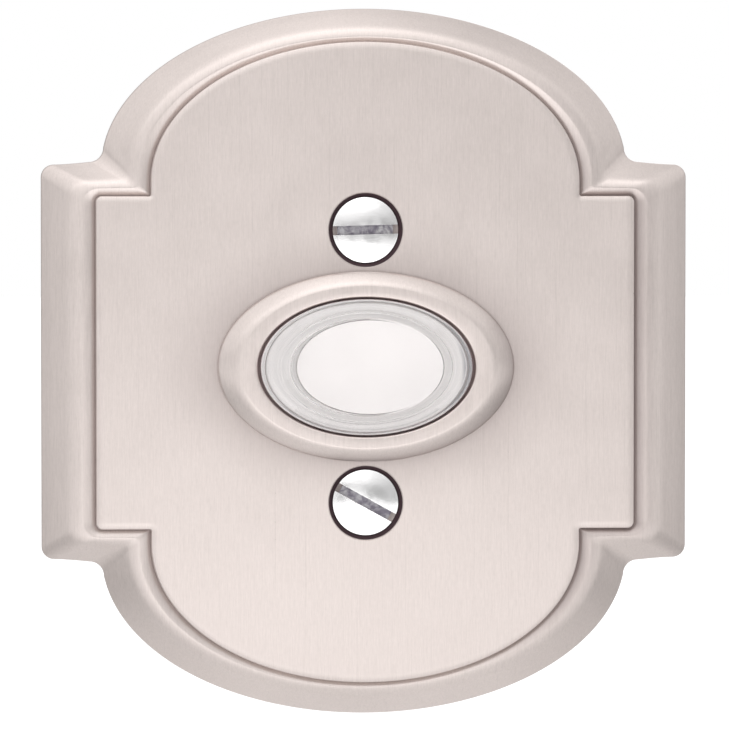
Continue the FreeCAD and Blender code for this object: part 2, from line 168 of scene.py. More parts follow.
class ButtonSizes(bpy.types.PropertyGroup):
    ratio: portion("Oval", "Width of every oval as a share of its height", 1.56)
    segments: number("Segments", "Faces round an oval", 192)
    bezel_round: length("Bezel rounding", "Width of the bezel's rounded edge", 1.7)
    opening: length("Opening", "Half height of the opening round the button", 8.17)
    opening_edge: length("Opening edge", "Bevel round the opening", 0.2)
    lip: length("Lip", "Thickness of the lip over the button", 1.6)
    bore: length("Bore", "Half height of the bore behind the lip", 8.7)
    skirt: length("Skirt", "Half height of the bezel's skirt", 9.7)
    skirt_fit: length("Skirt fit", "Gap between the skirt and the plate", 0.1)
    lens: length("Lens", "Half height of the lens", 7.95)
    flange: length("Lens flange", "Half height of the lens's flange", 8.45)
    flange_front: length("Flange front", "Height of the flange's front", 5.6)
    pocket: length("Pocket", "Half height of the pocket for the disc", 5.58)
    pocket_roof: length("Pocket roof", "Height of the pocket's roof", 6.9)
    film: length("Air film", "Gap between the lens and what lies behind it", 0.02)


class ScrewSizes(bpy.types.PropertyGroup):
    rim: length("Head rim", "Height of the head's straight rim", 0.2)
    neck: length("Neck", "Radius of the plain neck", 1.85)
    core: length("Core", "Radius of the core under the thread", 1.42)
    thread: length("Thread", "Outer radius of the thread", 2.085)
    pitch: length("Pitch", "Distance between the thread's turns", 1.85)
    point: length("Point", "Length of the tapered point", 4.2)
    slot_width: length("Slot width", "Width of the driver slot", 1.06)
    slot_depth: length("Slot depth", "Depth of the driver slot", 0.8)
    top_angle: angle("Top slot", "Turn of the top screw's slot", 1.5)
    bottom_angle: angle("Bottom slot", "Turn of the bottom screw's slot", -29.0)


class SwitchSizes(bpy.types.PropertyGroup):
    spring_radius: length("Spring", "Radius of the coil", 2.9)
    wire_radius: length("Wire", "Radius of the spring's wire", 0.22)
    spring_turns: number("Turns", "Turns of the spring", 4)


class Finishes(bpy.types.PropertyGroup):
    nickel: colour("Nickel", "Satin nickel of the plate and the bezel", (0.70, 0.624, 0.594))
    nickel_shade: colour("Nickel shade", "Darker streaks in the nickel", (0.60, 0.533, 0.505))
    # Painted shade: the dark colour laid in the groove, low on the bezel and round the bezel's foot, where shade
    # falls
    grime: colour("Painted shade", "Dark grime in the groove and round the bezel", (0.10, 0.06, 0.065))
    cast: colour("Raw casting", "Unpolished back of the plate", (0.40, 0.37, 0.345))
    # Painted shadow: the near-black of the recess walls round the screw heads, where the gap round each head
    # lies in shade
    recess: colour("Recess", "Dark walls of the screw holes", (0.035, 0.018, 0.022))
    chrome: colour("Chrome", "Bright heads of the wall screws", (0.95, 0.94, 0.94))
    acrylic: colour("Acrylic", "Clear moulded lens", (1.0, 0.985, 0.98))
    # Painted shadow: the dark plastic on the lens's side wall and flange front, where the gap round the lens
    # lies in shade
    rim: colour("Lens rim", "Dark rim in the gap round the lens", (0.54, 0.42, 0.42))
    disc: colour("Disc", "White disc in the button", (0.90, 0.875, 0.875))
    carrier: colour("Carrier", "White moulded carrier", (0.90, 0.885, 0.88))
    housing: colour("Housing", "Black moulded housing", (0.022, 0.022, 0.024))
    board: colour("Board", "Pressed brown board", (0.16, 0.07, 0.03))
    brass: colour("Brass", "Contacts and terminal plates", (0.72, 0.50, 0.20))
    zinc: colour("Zinc", "Plated machine screws", (0.66, 0.67, 0.69))
    steel: colour("Spring steel", "Drawn spring wire", (0.40, 0.40, 0.42))
    slot: colour("Slot", "Dark metal in the driver slots", (0.22, 0.20, 0.24))
    glow: colour("Glow", "The lamp's light on the disc and the carrier", (1.0, 0.98, 0.975))
    crescent: colour("Crescent", "Cool shade at the right of the lens", (0.42, 0.43, 0.50))
    glass: colour("Lamp glass", "Glass of the lamp", (1.0, 0.95, 0.86))
    lacquer: colour("Lacquer", "Body of the resistor", (0.62, 0.47, 0.28))
    lacquer_shade: colour("Lacquer shade", "Darker patches on the resistor", (0.50, 0.36, 0.20))
    wire: colour("Bare wire", "Wires of the resistor", (0.62, 0.62, 0.60))
    floor: colour("Floor", "Pale studio floor", (0.92, 0.92, 0.92))


class StageSizes(bpy.types.PropertyGroup):
    azimuth: angle("Azimuth", "Camera's turn round the object", -3.0)
    elevation: angle("Elevation", "Camera's height above the horizon", 2.2)
    distance: length("Distance", "Camera's distance from the object", 700.0)
    view_width: length("View width", "Width of what the camera sees at the object", 86.04)
    aim_x: length("Aim across", "Where the camera looks, to the right of the middle", 0.11)
    aim_z: length("Aim up", "Where the camera looks, above the middle", -0.40)
    floor_drop: length("Floor", "Depth of the floor below the middle", 60.0)

# Node helpers

class Term:
    """A socket of a node tree, so that a formula over it can be written as one."""

    def __init__(self, socket):
        self.socket = socket
        self.tree = socket.id_data

    def __add__(self, other):
        return maths("ADD", self, other)

    def __sub__(self, other):
        return maths("SUBTRACT", self, other)

    def __rsub__(self, other):
        return maths("SUBTRACT", other, self)

    def __mul__(self, other):
        return maths("MULTIPLY", self, other)

    def __truediv__(self, other):
        return maths("DIVIDE", self, other)

    def __pow__(self, other):
        return maths("POWER", self, other)

    def __abs__(self):
        return maths("ABSOLUTE", self)


class Outputs:
    """A node's outputs as terms, by their names."""

    def __init__(self, made):
        self.made = made

    def __getitem__(self, name):
        return Term(self.made.outputs[name])


def feed(made, inputs):
    """Give a node's inputs their values or links. A colour has three parts."""
    for key, value in inputs.items():
        socket = made.inputs[key]
        if isinstance(value, Term):
            made.id_data.links.new(value.socket, socket)
        else:
            socket.default_value = (*value, 1.0) if socket.type == "RGBA" else value


def node(tree, kind, inputs=None, **settings):
    """Add a node, with its settings, values and links."""
    made = tree.nodes.new(kind)
    for key, value in settings.items():
        setattr(made, key, value)
    feed(made, inputs or {})
    return made


def term(tree, kind, inputs=None, output=0, **settings):
    """Add a node and give one of its outputs."""
    return Term(node(tree, kind, inputs, **settings).outputs[output])


def maths(operation, *values):
    """A math node's result over terms and numbers."""
    tree = next(value.tree for value in values if isinstance(value, Term))
    return term(tree, "ShaderNodeMath", dict(enumerate(values)), operation=operation)


def remap(value, low, high, new_low=0.0, new_high=1.0):
    """A value moved from one range to another and kept inside it."""
    inputs = {"Value": value, "From Min": low, "From Max": high, "To Min": new_low, "To Max": new_high}
    return term(value.tree, "ShaderNodeMapRange", inputs)


def blended(factor, first, second, blend_type="MIX"):
    """A mix of two colours."""
    tree = next(value.tree for value in (factor, first, second) if isinstance(value, Term))
    inputs = {0: factor, 6: first, 7: second}
    return term(tree, "ShaderNodeMix", inputs, 2, data_type="RGBA", blend_type=blend_type)


def scaled(tint, by):
    return tuple(by * part for part in tint)


def ramp(value, low, high, levels, unit=1.0):
    """A grey level at each place along a value, and straight between the places."""
    made = node(value.tree, "ShaderNodeValToRGB", {"Fac": remap(value, low * unit, high * unit)})
    points = made.color_ramp.elements
    while len(points) < len(levels):
        points.new(0.5)
    for point, (place, level) in zip(points, levels):
        point.position = (place - low) / (high - low)
        point.color = (level, level, level, 1.0)
    return Term(made.outputs["Color"])


def object_place(tree):
    return term(tree, "ShaderNodeTexCoord", output="Object")


def stretched(tree, scale):
    """Object coordinates, scaled along each axis."""
    return term(tree, "ShaderNodeMapping", {"Vector": object_place(tree), "Scale": scale})


def axes_of(vector):
    return Outputs(node(vector.tree, "ShaderNodeSeparateXYZ", {"Vector": vector}))


def oval_place(axes, ratio, middle):
    """A place in an oval, in the measure of its height: how far across, up and from the middle."""
    across = axes["X"] / ratio
    up = axes["Z"] - middle
    return across, up, maths("SQRT", across * across + up * up)


def noise(vector, scale, detail=2.0, roughness=0.5):
    inputs = {"Vector": vector, "Scale": scale, "Detail": detail, "Roughness": roughness}
    return term(vector.tree, "ShaderNodeTexNoise", inputs, "Fac")


def bumped(height, distance, strength=1.0):
    inputs = {"Height": height, "Distance": distance, "Strength": strength}
    return term(height.tree, "ShaderNodeBump", inputs)


# Shared effects

def new_group(name, inputs, outputs):
    """A shader node group of plain numbers: its tree, its inputs and its output node."""
    tree = bpy.data.node_groups.new(name, "ShaderNodeTree")
    for socket_name, default in inputs.items():
        socket = tree.interface.new_socket(name=socket_name, in_out="INPUT", socket_type="NodeSocketFloat")
        socket.default_value = default
    for socket_name in outputs:
        tree.interface.new_socket(name=socket_name, in_out="OUTPUT", socket_type="NodeSocketFloat")
    return tree, Outputs(tree.nodes.new("NodeGroupInput")), tree.nodes.new("NodeGroupOutput")


def placed(tree, group_name, **values):
    """One of the shared effects, placed in a material."""
    inputs = {key.capitalize(): value for key, value in values.items()}
    return Outputs(node(tree, "ShaderNodeGroup", inputs, node_tree=bpy.data.node_groups[group_name]))


def brushed_grain():
    """Fine upright brush lines: a tone, a roughness offset and a height."""
    tree, given, end = new_group("Brushed grain", {"Strength": 1.0}, ("Tone", "Roughness", "Height"))
    fine = noise(stretched(tree, (9000.0, 9000.0, 900.0)), 1.0, 3.0, 0.6)
    medium = noise(stretched(tree, (5200.0, 5200.0, 260.0)), 1.0)
    scratch = noise(stretched(tree, (5200.0, 900.0, 34.0)), 1.0, 1.0)
    lines = fine * 0.6 + medium * 0.4 - remap(scratch, 0.64, 0.76, 0.0, 0.14)
    strong = (lines - 0.5) * given["Strength"]
    feed(end, {"Tone": strong + 0.5, "Roughness": strong * 0.12, "Height": strong})


def cast_mottle():
    """Soft unevenness of cast and blasted metal: a tone and a height."""
    tree, given, end = new_group("Cast mottle", {"Scale": 1.0, "Strength": 1.0}, ("Tone", "Height"))
    place = object_place(tree)
    wide = noise(place, given["Scale"] * 120.0)
    grain = noise(place, given["Scale"] * 2400.0, 3.0, 0.6)
    centred = (wide * 0.55 + grain * 0.45 - 0.5) * given["Strength"]
    feed(end, {"Tone": centred + 0.5, "Height": centred})


def smudges():
    """Cloudy finger marks and wipe streaks: a mask."""
    tree, given, end = new_group("Smudges", {"Scale": 1.0}, ("Mask",))
    place = object_place(tree)
    warp = term(tree, "ShaderNodeTexNoise", {"Vector": place, "Scale": 330.0, "Detail": 1.0}, "Color")
    moved = term(tree, "ShaderNodeVectorMath", {0: warp, 1: (0.003, 0.003, 0.003)}, operation="MULTIPLY")
    bent = term(tree, "ShaderNodeVectorMath", {0: place, 1: moved}, operation="ADD")
    cloud = noise(bent, given["Scale"] * 420.0, 3.0, 0.55)
    feed(end, {"Mask": remap(cloud, 0.42, 0.62)})


def moulded_skin():
    """The faint texture of a moulded surface: a tone and a height."""
    tree, given, end = new_group("Moulded skin", {"Scale": 1.0}, ("Tone", "Height"))
    place = object_place(tree)
    fine = noise(place, given["Scale"] * 3200.0)
    wide = noise(place, given["Scale"] * 160.0, 1.0)
    feed(end, {"Tone": wide * 0.7 + fine * 0.3, "Height": fine})


def nickel_painted_shade():
    """Painted shade in the groove, low on the bezel and as a painted contact shadow round the bezel's foot,
    darker to the right and below: a mask.
    """
    tree, given, end = new_group("Nickel grime", {"Amount": 0.0}, ("Mask",))
    axes = axes_of(object_place(tree))
    raised = remap(axes["Y"], plate_low.y, plate_low.y - 0.05 * MM)
    twice = raised + 1.0
    lean = (axes["X"] - axes["Z"] * (twice * 0.6)) * twice
    # The painted shade is darker to the right and below, and on the bezel
    power = remap(lean, -20 * MM, 20 * MM, 10.0, 1.7)
    # No painted shade at the middle of the top and bottom; more towards the sides and on the bezel
    wear_and_shade = maths("MAXIMUM", remap(abs(axes["X"]), 10 * MM, 26 * MM, 0.0, 0.62), raised * 0.85)
    groove = given["Amount"] ** power * wear_and_shade
    half_x, half_z = (bezel_high.x - bezel_low.x) / 2, (bezel_high.z - bezel_low.z) / 2
    _, _, away = oval_place(axes, half_x / half_z, middle_z)
    # A painted contact shadow on the field round the bezel's foot
    foot = remap(away - half_z + raised, 0.0, 6 * MM, 1.0, 0.0) ** 1.8
    feed(end, {"Mask": groove + foot * 0.26})


def carrier_rings():
    """The rings that show through the lens and a dim crescent on the right: two masks."""
    tree, given, end = new_group("Carrier rings", {"Ratio": 1.56, "Middle": 0.0}, ("Light", "Crescent"))
    across, up, away = oval_place(axes_of(object_place(tree)), given["Ratio"], given["Middle"])
    aside = abs(maths("ARCTAN2", up, across) - 0.10)
    inner = remap(aside, 0.15, 1.0) * (0.6 * MM) + 7.15 * MM
    crescent = remap(away - inner, 0.0, 0.25 * MM) * remap(aside, 0.7, 1.0, 1.0, 0.0)
    feed(end, {"Light": ramp(away, 5.0, 8.5, RING_LEVELS, MM), "Crescent": crescent})


# Materials

def new_material(name):
    """An empty material and its tree."""
    material = bpy.data.materials.new(name)
    material.use_nodes = True
    return material, material.node_tree


def dressed(material, inputs):
    """Feed a material's Principled BSDF."""
    feed(material.node_tree.nodes["Principled BSDF"], inputs)
    return material


def satin_nickel(colours):
    """Brushed nickel with painted shade where its points and its place say so."""
    material, tree = new_material("nickel_finish")
    grain = placed(tree, "Brushed grain", strength=1.0)
    mottle = placed(tree, "Cast mottle", scale=1.0, strength=0.8)
    tone = grain["Tone"] * 0.6 + mottle["Tone"] * 0.4
    base = blended(remap(tone, 0.34, 0.60), colours.nickel_shade, colours.nickel)
    # The painted shade from the points, with the painted contact shadow round the bezel, darkens the nickel
    # towards the dark colour
    amount = term(tree, "ShaderNodeAttribute", output="Fac", attribute_name="grime")
    mask = placed(tree, "Nickel grime", amount=amount)["Mask"]
    return dressed(material, {
        "Base Color": blended(mask, base, colours.grime),
        "Metallic": 0.75,
        "Roughness": remap(mottle["Tone"], 0.3, 0.7, 0.29, 0.35) + grain["Roughness"],
        "Normal": bumped(grain["Height"] + mottle["Height"] * 0.5, 0.008 * MM, 0.4),
    })


def raw_casting(colours):
    material, tree = new_material("raw_casting")
    mottle = placed(tree, "Cast mottle", scale=0.8, strength=1.6)
    return dressed(material, {
        "Base Color": blended(remap(mottle["Tone"], 0.2, 0.8), scaled(colours.cast, 0.6), colours.cast),
        "Metallic": 0.85,
        "Roughness": remap(mottle["Tone"], 0.2, 0.8, 0.72, 0.5),
        "Normal": bumped(mottle["Height"], 0.12 * MM, 0.8),
    })


# Painted shadow for the recess walls round the screw heads: a mottled near-black where the gap lies in shade
def dark_recess(colours):
    material, tree = new_material("dark_recess")
    mottle = placed(tree, "Cast mottle", scale=1.5, strength=1.2)
    return dressed(material, {
        "Base Color": blended(mottle["Tone"], colours.recess, scaled(colours.recess, 2.2)),
        "Metallic": 0.4,
        "Roughness": 0.6,
        "Normal": bumped(mottle["Height"], 0.04 * MM),
    })


def bright_chrome(colours):
    material, tree = new_material("bright_chrome")
    mask = placed(tree, "Smudges", scale=1.0)["Mask"]
    grain = placed(tree, "Cast mottle", scale=1.4, strength=1.0)
    return dressed(material, {
        "Base Color": blended(mask, colours.chrome, scaled(colours.chrome, 0.92)),
        "Metallic": 1.0,
        "Roughness": remap(mask, 0.0, 1.0, 0.12, 0.24),
        "Normal": bumped(grain["Height"], 0.02 * MM, 0.4),
    })


def worn_slot(colours):
    material, tree = new_material("worn_slot")
    mottle = placed(tree, "Cast mottle", scale=3.0, strength=2.0)
    wear_and_shade = placed(tree, "Smudges", scale=3.0)["Mask"] * mottle["Tone"]
    return dressed(material, {
        "Base Color": blended(wear_and_shade, colours.slot, scaled(colours.chrome, 0.80)),
        "Metallic": 0.8,
        "Roughness": remap(mottle["Tone"], 0.3, 0.7, 0.35, 0.6),
        "Normal": bumped(mottle["Height"], 0.05 * MM),
    })


def clear(name, tint, skin_scale, transmission, ior, low, high, depth):
    """A clear material, rougher and smoother in patches."""
    material, tree = new_material(name)
    skin = placed(tree, "Moulded skin", scale=skin_scale)
    return dressed(material, {
        "Base Color": tint,
        "Transmission Weight": transmission,
        "IOR": ior,
        "Roughness": remap(skin["Tone"], 0.3, 0.7, low, high),
        "Normal": bumped(skin["Height"], depth, 0.4),
    })


def plastic(name, tint, low, high, depth):
    """A moulded plastic of one colour, rougher and smoother in patches."""
    material, tree = new_material(name)
    skin = placed(tree, "Moulded skin", scale=1.0)
    return dressed(material, {
        "Base Color": blended(remap(skin["Tone"], 0.3, 0.7), scaled(tint, 0.9), tint),
        "Roughness": remap(skin["Tone"], 0.3, 0.7, low, high),
        "Normal": bumped(skin["Height"], depth, 0.6),
    })


def lit_disc(colours):
    """White plastic that the lamp behind it lights faintly, a little more above the middle."""
    material = plastic("white_disc", colours.disc, 0.30, 0.38, 0.004 * MM)
    place = object_place(material.node_tree)
    brightest = (0.0, 0.0, 4 * MM)
    away = term(place.tree, "ShaderNodeVectorMath", {0: place, 1: brightest}, "Value", operation="DISTANCE")
    return dressed(material, {
        "Emission Color": blended(remap(away, 0.0, 11 * MM, 1.0, 0.75), BLACK, colours.glow),
        "Emission Strength": 0.53,
    })


def lit_carrier(colours, ratio):
    """White plastic whose front face, under the lens, the lamp lights in rings."""
    material = plastic("white_plastic", colours.carrier, 0.36, 0.48, 0.01 * MM)
    tree = material.node_tree
    rings = placed(tree, "Carrier rings", ratio=ratio, middle=middle_z)
    front = remap(axes_of(object_place(tree))["Y"], -3.3 * MM, -3.6 * MM)
    shaded = blended(rings["Crescent"], colours.carrier, colours.crescent)
    shown = blended(1.0, shaded, rings["Light"], "MULTIPLY")
    glow = front * (rings["Light"] * (1.0 - rings["Crescent"] * 0.62))
    return dressed(material, {
        "Base Color": blended(front, colours.carrier, shown),
        "Emission Color": blended(glow, BLACK, colours.glow),
        "Emission Strength": 0.40,
    })


def pressed_board(colours):
    material, tree = new_material("pressed_board")
    fibres = noise(stretched(tree, (500.0, 500.0, 1500.0)), 1.0, 3.0, 0.7)
    specks = noise(object_place(tree), 2600.0)
    return dressed(material, {
        "Base Color": blended(remap(fibres, 0.3, 0.7), colours.board, scaled(colours.board, 1.9)),
        "Roughness": remap(specks, 0.3, 0.7, 0.38, 0.6),
        "Normal": bumped(fibres, 0.02 * MM),
    })


def metal(name, tint, low, high, dulled=0.7):
    """A plain metal with smudges and a faint mottle."""
    material, tree = new_material(name)
    mottle = placed(tree, "Cast mottle", scale=2.0, strength=1.0)
    dull = placed(tree, "Smudges", scale=1.6)["Mask"] * remap(mottle["Tone"], 0.3, 0.7, 0.5, 1.0)
    return dressed(material, {
        "Base Color": blended(dull, tint, scaled(tint, dulled)),
        "Metallic": 1.0,
        "Roughness": remap(dull, 0.0, 1.0, low, high),
        "Normal": bumped(mottle["Height"], 0.01 * MM, 0.6),
    })


def banded_resistor(colours):
    """A lacquered body with rings of colour across it and bare wires."""
    material, tree = new_material("banded_resistor")
    across = axes_of(object_place(tree))["X"]
    skin = placed(tree, "Moulded skin", scale=1.0)
    base = blended(skin["Tone"], colours.lacquer_shade, colours.lacquer)
    for x, tint in RESISTOR_BANDS:
        base = blended(remap(abs(across - x * MM), 0.20 * MM, 0.24 * MM, 1.0, 0.0), base, tint)
    wire = remap(abs(across), 2.30 * MM, 2.32 * MM)
    return dressed(material, {
        "Base Color": blended(wire, base, colours.wire),
        "Metallic": wire,
        "Roughness": remap(skin["Tone"], 0.3, 0.7, 0.22, 0.36),
        "Normal": bumped(skin["Height"], 0.01 * MM),
    })


# Geometry trees

def new_tree(name, **inputs):
    """A geometry tree with named inputs: the tree and its inputs as terms."""
    tree = bpy.data.node_groups.new(name, "GeometryNodeTree")
    for socket_name, kind in (("Geometry", "Geometry"), *inputs.items()):
        tree.interface.new_socket(name=socket_name, in_out="INPUT", socket_type="NodeSocket" + kind)
    tree.interface.new_socket(name="Geometry", in_out="OUTPUT", socket_type="NodeSocketGeometry")
    return tree, Outputs(tree.nodes.new("NodeGroupInput"))


def finished(geometry, material):
    """The last nodes of every tree: real meshes, smooth faces and one material."""
    tree = geometry.tree
    for kind, extra in (("GeometryNodeRealizeInstances", {}), ("GeometryNodeSetShadeSmooth", {}),
                        ("GeometryNodeSetMaterial", {"Material": material})):
        geometry = term(tree, kind, {"Geometry": geometry, **extra})
    feed(tree.nodes.new("NodeGroupOutput"), {"Geometry": geometry})


def shaped(geometry, place, distance):
    """The geometry with its points moved, and merged where they meet."""
    moved = term(geometry.tree, "GeometryNodeSetPosition", {"Geometry": geometry, "Position": place})
    return term(geometry.tree, "GeometryNodeMergeByDistance", {"Geometry": moved, "Distance": distance})


def read_at(geometry, field, index):
    """A vector field of one geometry, read at an index."""
    inputs = {"Geometry": geometry, "Value": field, "Index": index}
    return term(geometry.tree, "GeometryNodeSampleIndex", inputs, data_type="FLOAT_VECTOR", domain="POINT")


def with_painted_shade(geometry, value):
    """The geometry with how much painted shade each point takes, for the materials."""
    inputs = {"Geometry": geometry, "Name": "grime", "Value": value}
    return term(geometry.tree, "GeometryNodeStoreNamedAttribute", inputs, data_type="FLOAT", domain="POINT")


def point_count(geometry):
    return term(geometry.tree, "GeometryNodeAttributeDomainSize", {"Geometry": geometry}, "Point Count",
                component="MESH")


def combined(x, y, z):
    return term(x.tree, "ShaderNodeCombineXYZ", {"X": x, "Y": y, "Z": z})


def position_in(tree):
    return term(tree, "GeometryNodeInputPosition")


def net(across, along):
    """A grid whose place in both directions can be read: its geometry and its two whole numbers."""
    grid = term(across.tree, "GeometryNodeMeshGrid", {"Vertices X": across, "Vertices Y": along})
    index = term(across.tree, "GeometryNodeInputIndex")
    row = maths("FLOOR", (index + 0.5) / along)
    return grid, row, index - row * along


def turned_tree():
    """A section turned round the axis that faces the front, stretched sideways into an oval."""
    tree, given = new_tree("Turned section", Segments="Int", Ratio="Float", Material="Material")
    grid, row, column = net(given["Segments"] + 1.0, point_count(given["Geometry"]))
    section = axes_of(read_at(given["Geometry"], position_in(tree), column))
    turn = row / given["Segments"] * FULL_TURN
    across = section["X"] * given["Ratio"] * maths("COSINE", turn)
    place = combined(across, section["Y"], section["X"] * maths("SINE", turn))
    # The section's third value is kept on each point as painted shade
    finished(shaped(with_painted_shade(grid, section["Z"]), place, 1e-7), given["Material"])


def moulding_tree():
    """A moulding over four outlines: its section gives how far in each point is and its height.

    From 0 to 1 a point goes from the outer outline to the ridge, then to the inner one and to the core."""
    tree, given = new_tree("Moulding", Section="Object", Material="Material")
    section = term(tree, "GeometryNodeObjectInfo", {"Object": given["Section"]}, "Geometry")
    corners = point_count(given["Geometry"])
    grid, row, column = net(corners + 1.0, point_count(section))
    corner = maths("FLOORED_MODULO", row, corners)
    position = position_in(tree)
    step = axes_of(read_at(section, position, column))
    place = read_at(given["Geometry"], position, corner)
    for start, name in enumerate(("ridge", "inner", "core")):
        outline = term(tree, "GeometryNodeInputNamedAttribute", {"Name": name}, data_type="FLOAT_VECTOR")
        part = remap(step["X"], start, start + 1)
        inputs = {0: part, 4: place, 5: read_at(given["Geometry"], outline, corner)}
        place = term(tree, "ShaderNodeMix", inputs, 1, data_type="VECTOR")
    flat = axes_of(place)
    place = combined(flat["X"], step["Y"], flat["Z"])
    # The section's third value is kept on each point as painted shade
    finished(shaped(with_painted_shade(grid, step["Z"]), place, 1e-7), given["Material"])


def thread_tree():
    """A screw's ridge: a closed section of five points that climbs round a core and runs out at both ends."""
    tree, given = new_tree("Screw thread", Turns="Float", Pitch="Float", Core="Float", Crest="Float",
                           Taper="Float", Material="Material")
    steps = 36.0
    grid, row, column = net(maths("FLOOR", given["Turns"] * steps) + 1.0, 5)
    first, tip, last, inside, again = (maths("COMPARE", column, number, 0.1) for number in range(5))
    travelled = row / steps
    left = given["Turns"] - travelled
    ends = remap(travelled, 0.0, 0.8) * remap(left, 0.0, 0.35)
    slim = maths("MINIMUM", (left + 0.25) / (given["Taper"] / given["Pitch"]), 1.0)
    core = given["Core"] * slim
    rise = (given["Crest"] - given["Core"]) * ends * slim ** 0.6
    radius = core + rise * tip - core * 0.25 * inside - 0.02 * MM
    width = given["Pitch"] * 0.30 * ends
    climb = travelled * given["Pitch"] + width * (last - (first + again))
    turn = travelled * FULL_TURN
    place = combined(radius * maths("COSINE", turn), climb, radius * maths("SINE", turn))
    finished(shaped(grid, place, 1e-6), given["Material"])


def coil_tree():
    """A round wire wound into a coil, with its ends closed."""
    tree, given = new_tree("Wire coil", Radius="Float", Wire="Float", Turns="Float", Height="Float",
                           Material="Material")
    spiral = term(tree, "GeometryNodeCurveSpiral", {
        "Resolution": 48, "Rotations": given["Turns"], "Start Radius": given["Radius"],
        "End Radius": given["Radius"], "Height": given["Height"]})
    inputs = {"Resolution": 12, "Radius": given["Wire"]}
    section = term(tree, "GeometryNodeCurvePrimitiveCircle", inputs, mode="RADIUS")
    inputs = {"Curve": spiral, "Profile Curve": section, "Fill Caps": True}
    wire = term(tree, "GeometryNodeCurveToMesh", inputs)
    inputs = {"Geometry": wire, "Rotation": (math.radians(-90), 0.0, 0.0)}
    finished(term(tree, "GeometryNodeTransform", inputs), given["Material"])


# Mesh helpers

def linked(name, mesh):
    """A new object in the scene."""
    made = bpy.data.objects.new(name, mesh)
    bpy.context.scene.collection.objects.link(made)
    return made


def evaluated(made):
    """The object's mesh with its modifiers applied."""
    bpy.context.view_layer.update()
    depsgraph = bpy.context.evaluated_depsgraph_get()
    return bpy.data.meshes.new_from_object(made.evaluated_get(depsgraph), depsgraph=depsgraph)


def baked(made):
    """Replace an object's mesh by its evaluated one and drop its modifiers."""
    mesh = evaluated(made)
    made.modifiers.clear()
    made.data = mesh
    return made


def run_tree(name, tree_name, base, **inputs):
    """A plain object from a geometry tree, run on a base mesh."""
    made = linked(name, base)
    modifier = made.modifiers.new("Maker", "NODES")
    modifier.node_group = bpy.data.node_groups[tree_name]
    for item in modifier.node_group.interface.items_tree:
        if item.in_out == "INPUT" and item.name in inputs:
            modifier[item.identifier] = inputs[item.name]
    baked(made)
    used = [material for material in made.data.materials if material]
    made.data.materials.clear()
    for material in used:
        made.data.materials.append(material)
    for face in made.data.polygons:
        face.material_index = 0
    return made


def chain(name, points):
    """A mesh of points in a row."""
    mesh = bpy.data.meshes.new(name)
    mesh.from_pydata(points, [(i, i + 1) for i in range(len(points) - 1)], [])
    return mesh


def section_mesh(name, profile):
    """(radius, height) points, some with a third value for painted shade, as a mesh that a tree can read."""
    return chain(name, [(point[0], -point[1], point[2] if len(point) > 2 else 0.0) for point in profile])


def outward(made):
    """Merge doubles and turn the faces outwards."""
    shape = bmesh.new()
    shape.from_mesh(made.data)
    bmesh.ops.remove_doubles(shape, verts=shape.verts, dist=1e-8)
    bmesh.ops.recalc_face_normals(shape, faces=shape.faces)
    shape.to_mesh(made.data)
    shape.free()
    return made


def turned(name, profile, material, segments=96, ratio=1.0, x=0.0, z=0.0):
    """A closed solid turned from a section whose ends lie on the axis or meet."""
    made = run_tree(name, "Turned section", section_mesh(name, profile), Segments=segments, Ratio=ratio,
                    Material=material)
    made.data.transform(Matrix.Translation((x, 0.0, z)))
    return outward(made)


def block(name, low, high):
    """A closed box between two corners."""
    mesh = bpy.data.meshes.new(name)
    shape = bmesh.new()
    bmesh.ops.create_cube(shape, size=1.0)
    for point in shape.verts:
        point.co = Vector(low[i] if point.co[i] < 0 else high[i] for i in range(3))
    bmesh.ops.recalc_face_normals(shape, faces=shape.faces)
    shape.to_mesh(mesh)
    shape.free()
    return linked(name, mesh)


def carved(body, tools, operation="DIFFERENCE"):
    """Cut tools out of a body, or join them to it, and delete them."""
    for tool in tools:
        modifier = body.modifiers.new("Cut", "BOOLEAN")
        modifier.operation = operation
        modifier.solver = "EXACT"
        modifier.object = tool
    baked(body)
    for tool in tools:
        bpy.data.objects.remove(tool)
    return body


def creased(made, degrees=32.0):
    """Smooth faces with sharp edges past an angle, and flat faces that stay flat."""
    shape = bmesh.new()
    shape.from_mesh(made.data)
    limit = math.radians(degrees)
    for face in shape.faces:
        face.smooth = True
    for edge in shape.edges:
        edge.smooth = edge.is_manifold and edge.calc_face_angle(0.0) < limit
    shape.to_mesh(made.data)
    shape.free()
    modifier = made.modifiers.new("Weighted", "WEIGHTED_NORMAL")
    modifier.keep_sharp = True
    modifier.weight = 100
    return baked(made)


def painted(made, *rules):
    """Give faces other materials: each rule is a material and a test of a face's centre and normal."""
    slots = []
    for material, test in rules:
        made.data.materials.append(material)
        slots.append((len(made.data.materials) - 1, test))
    for face in made.data.polygons:
        for index, test in slots:
            if test(face.center, face.normal):
                face.material_index = index
    return made


def settle(made, body, slot, *nodes):
    """Fasten a finished piece to its body and hide the solids that it stands for; the finish that it is given is
    not used.
    """
    made.name = made.name.replace(" ", "_")
    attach(made, body)
    if nodes:
        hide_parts(*nodes)
    return made


def arc(centre_x, centre_y, radius_x, radius_y, start, end, steps):
    """Points of an elliptical arc, angles in degrees, both ends included."""
    angles = [math.radians(start + (end - start) * i / steps) for i in range(steps + 1)]
    return [(centre_x + radius_x * math.cos(a), centre_y + radius_y * math.sin(a)) for a in angles]


# Plate

def arch_points(arch, spring, top, start, count):
    """Points up a quarter of an arch, from a height to its top. Below its spring it is straight."""
    if start < spring:
        run = [(arch, start + (spring - start) * i / 4) for i in range(4)]
        return run + arc(0.0, spring, arch, top - spring, 0, 90, count - 4)
    turn = math.degrees(math.asin((start - spring) / (top - spring)))
    return arc(0.0, spring, arch, top - spring, turn, 90, count)


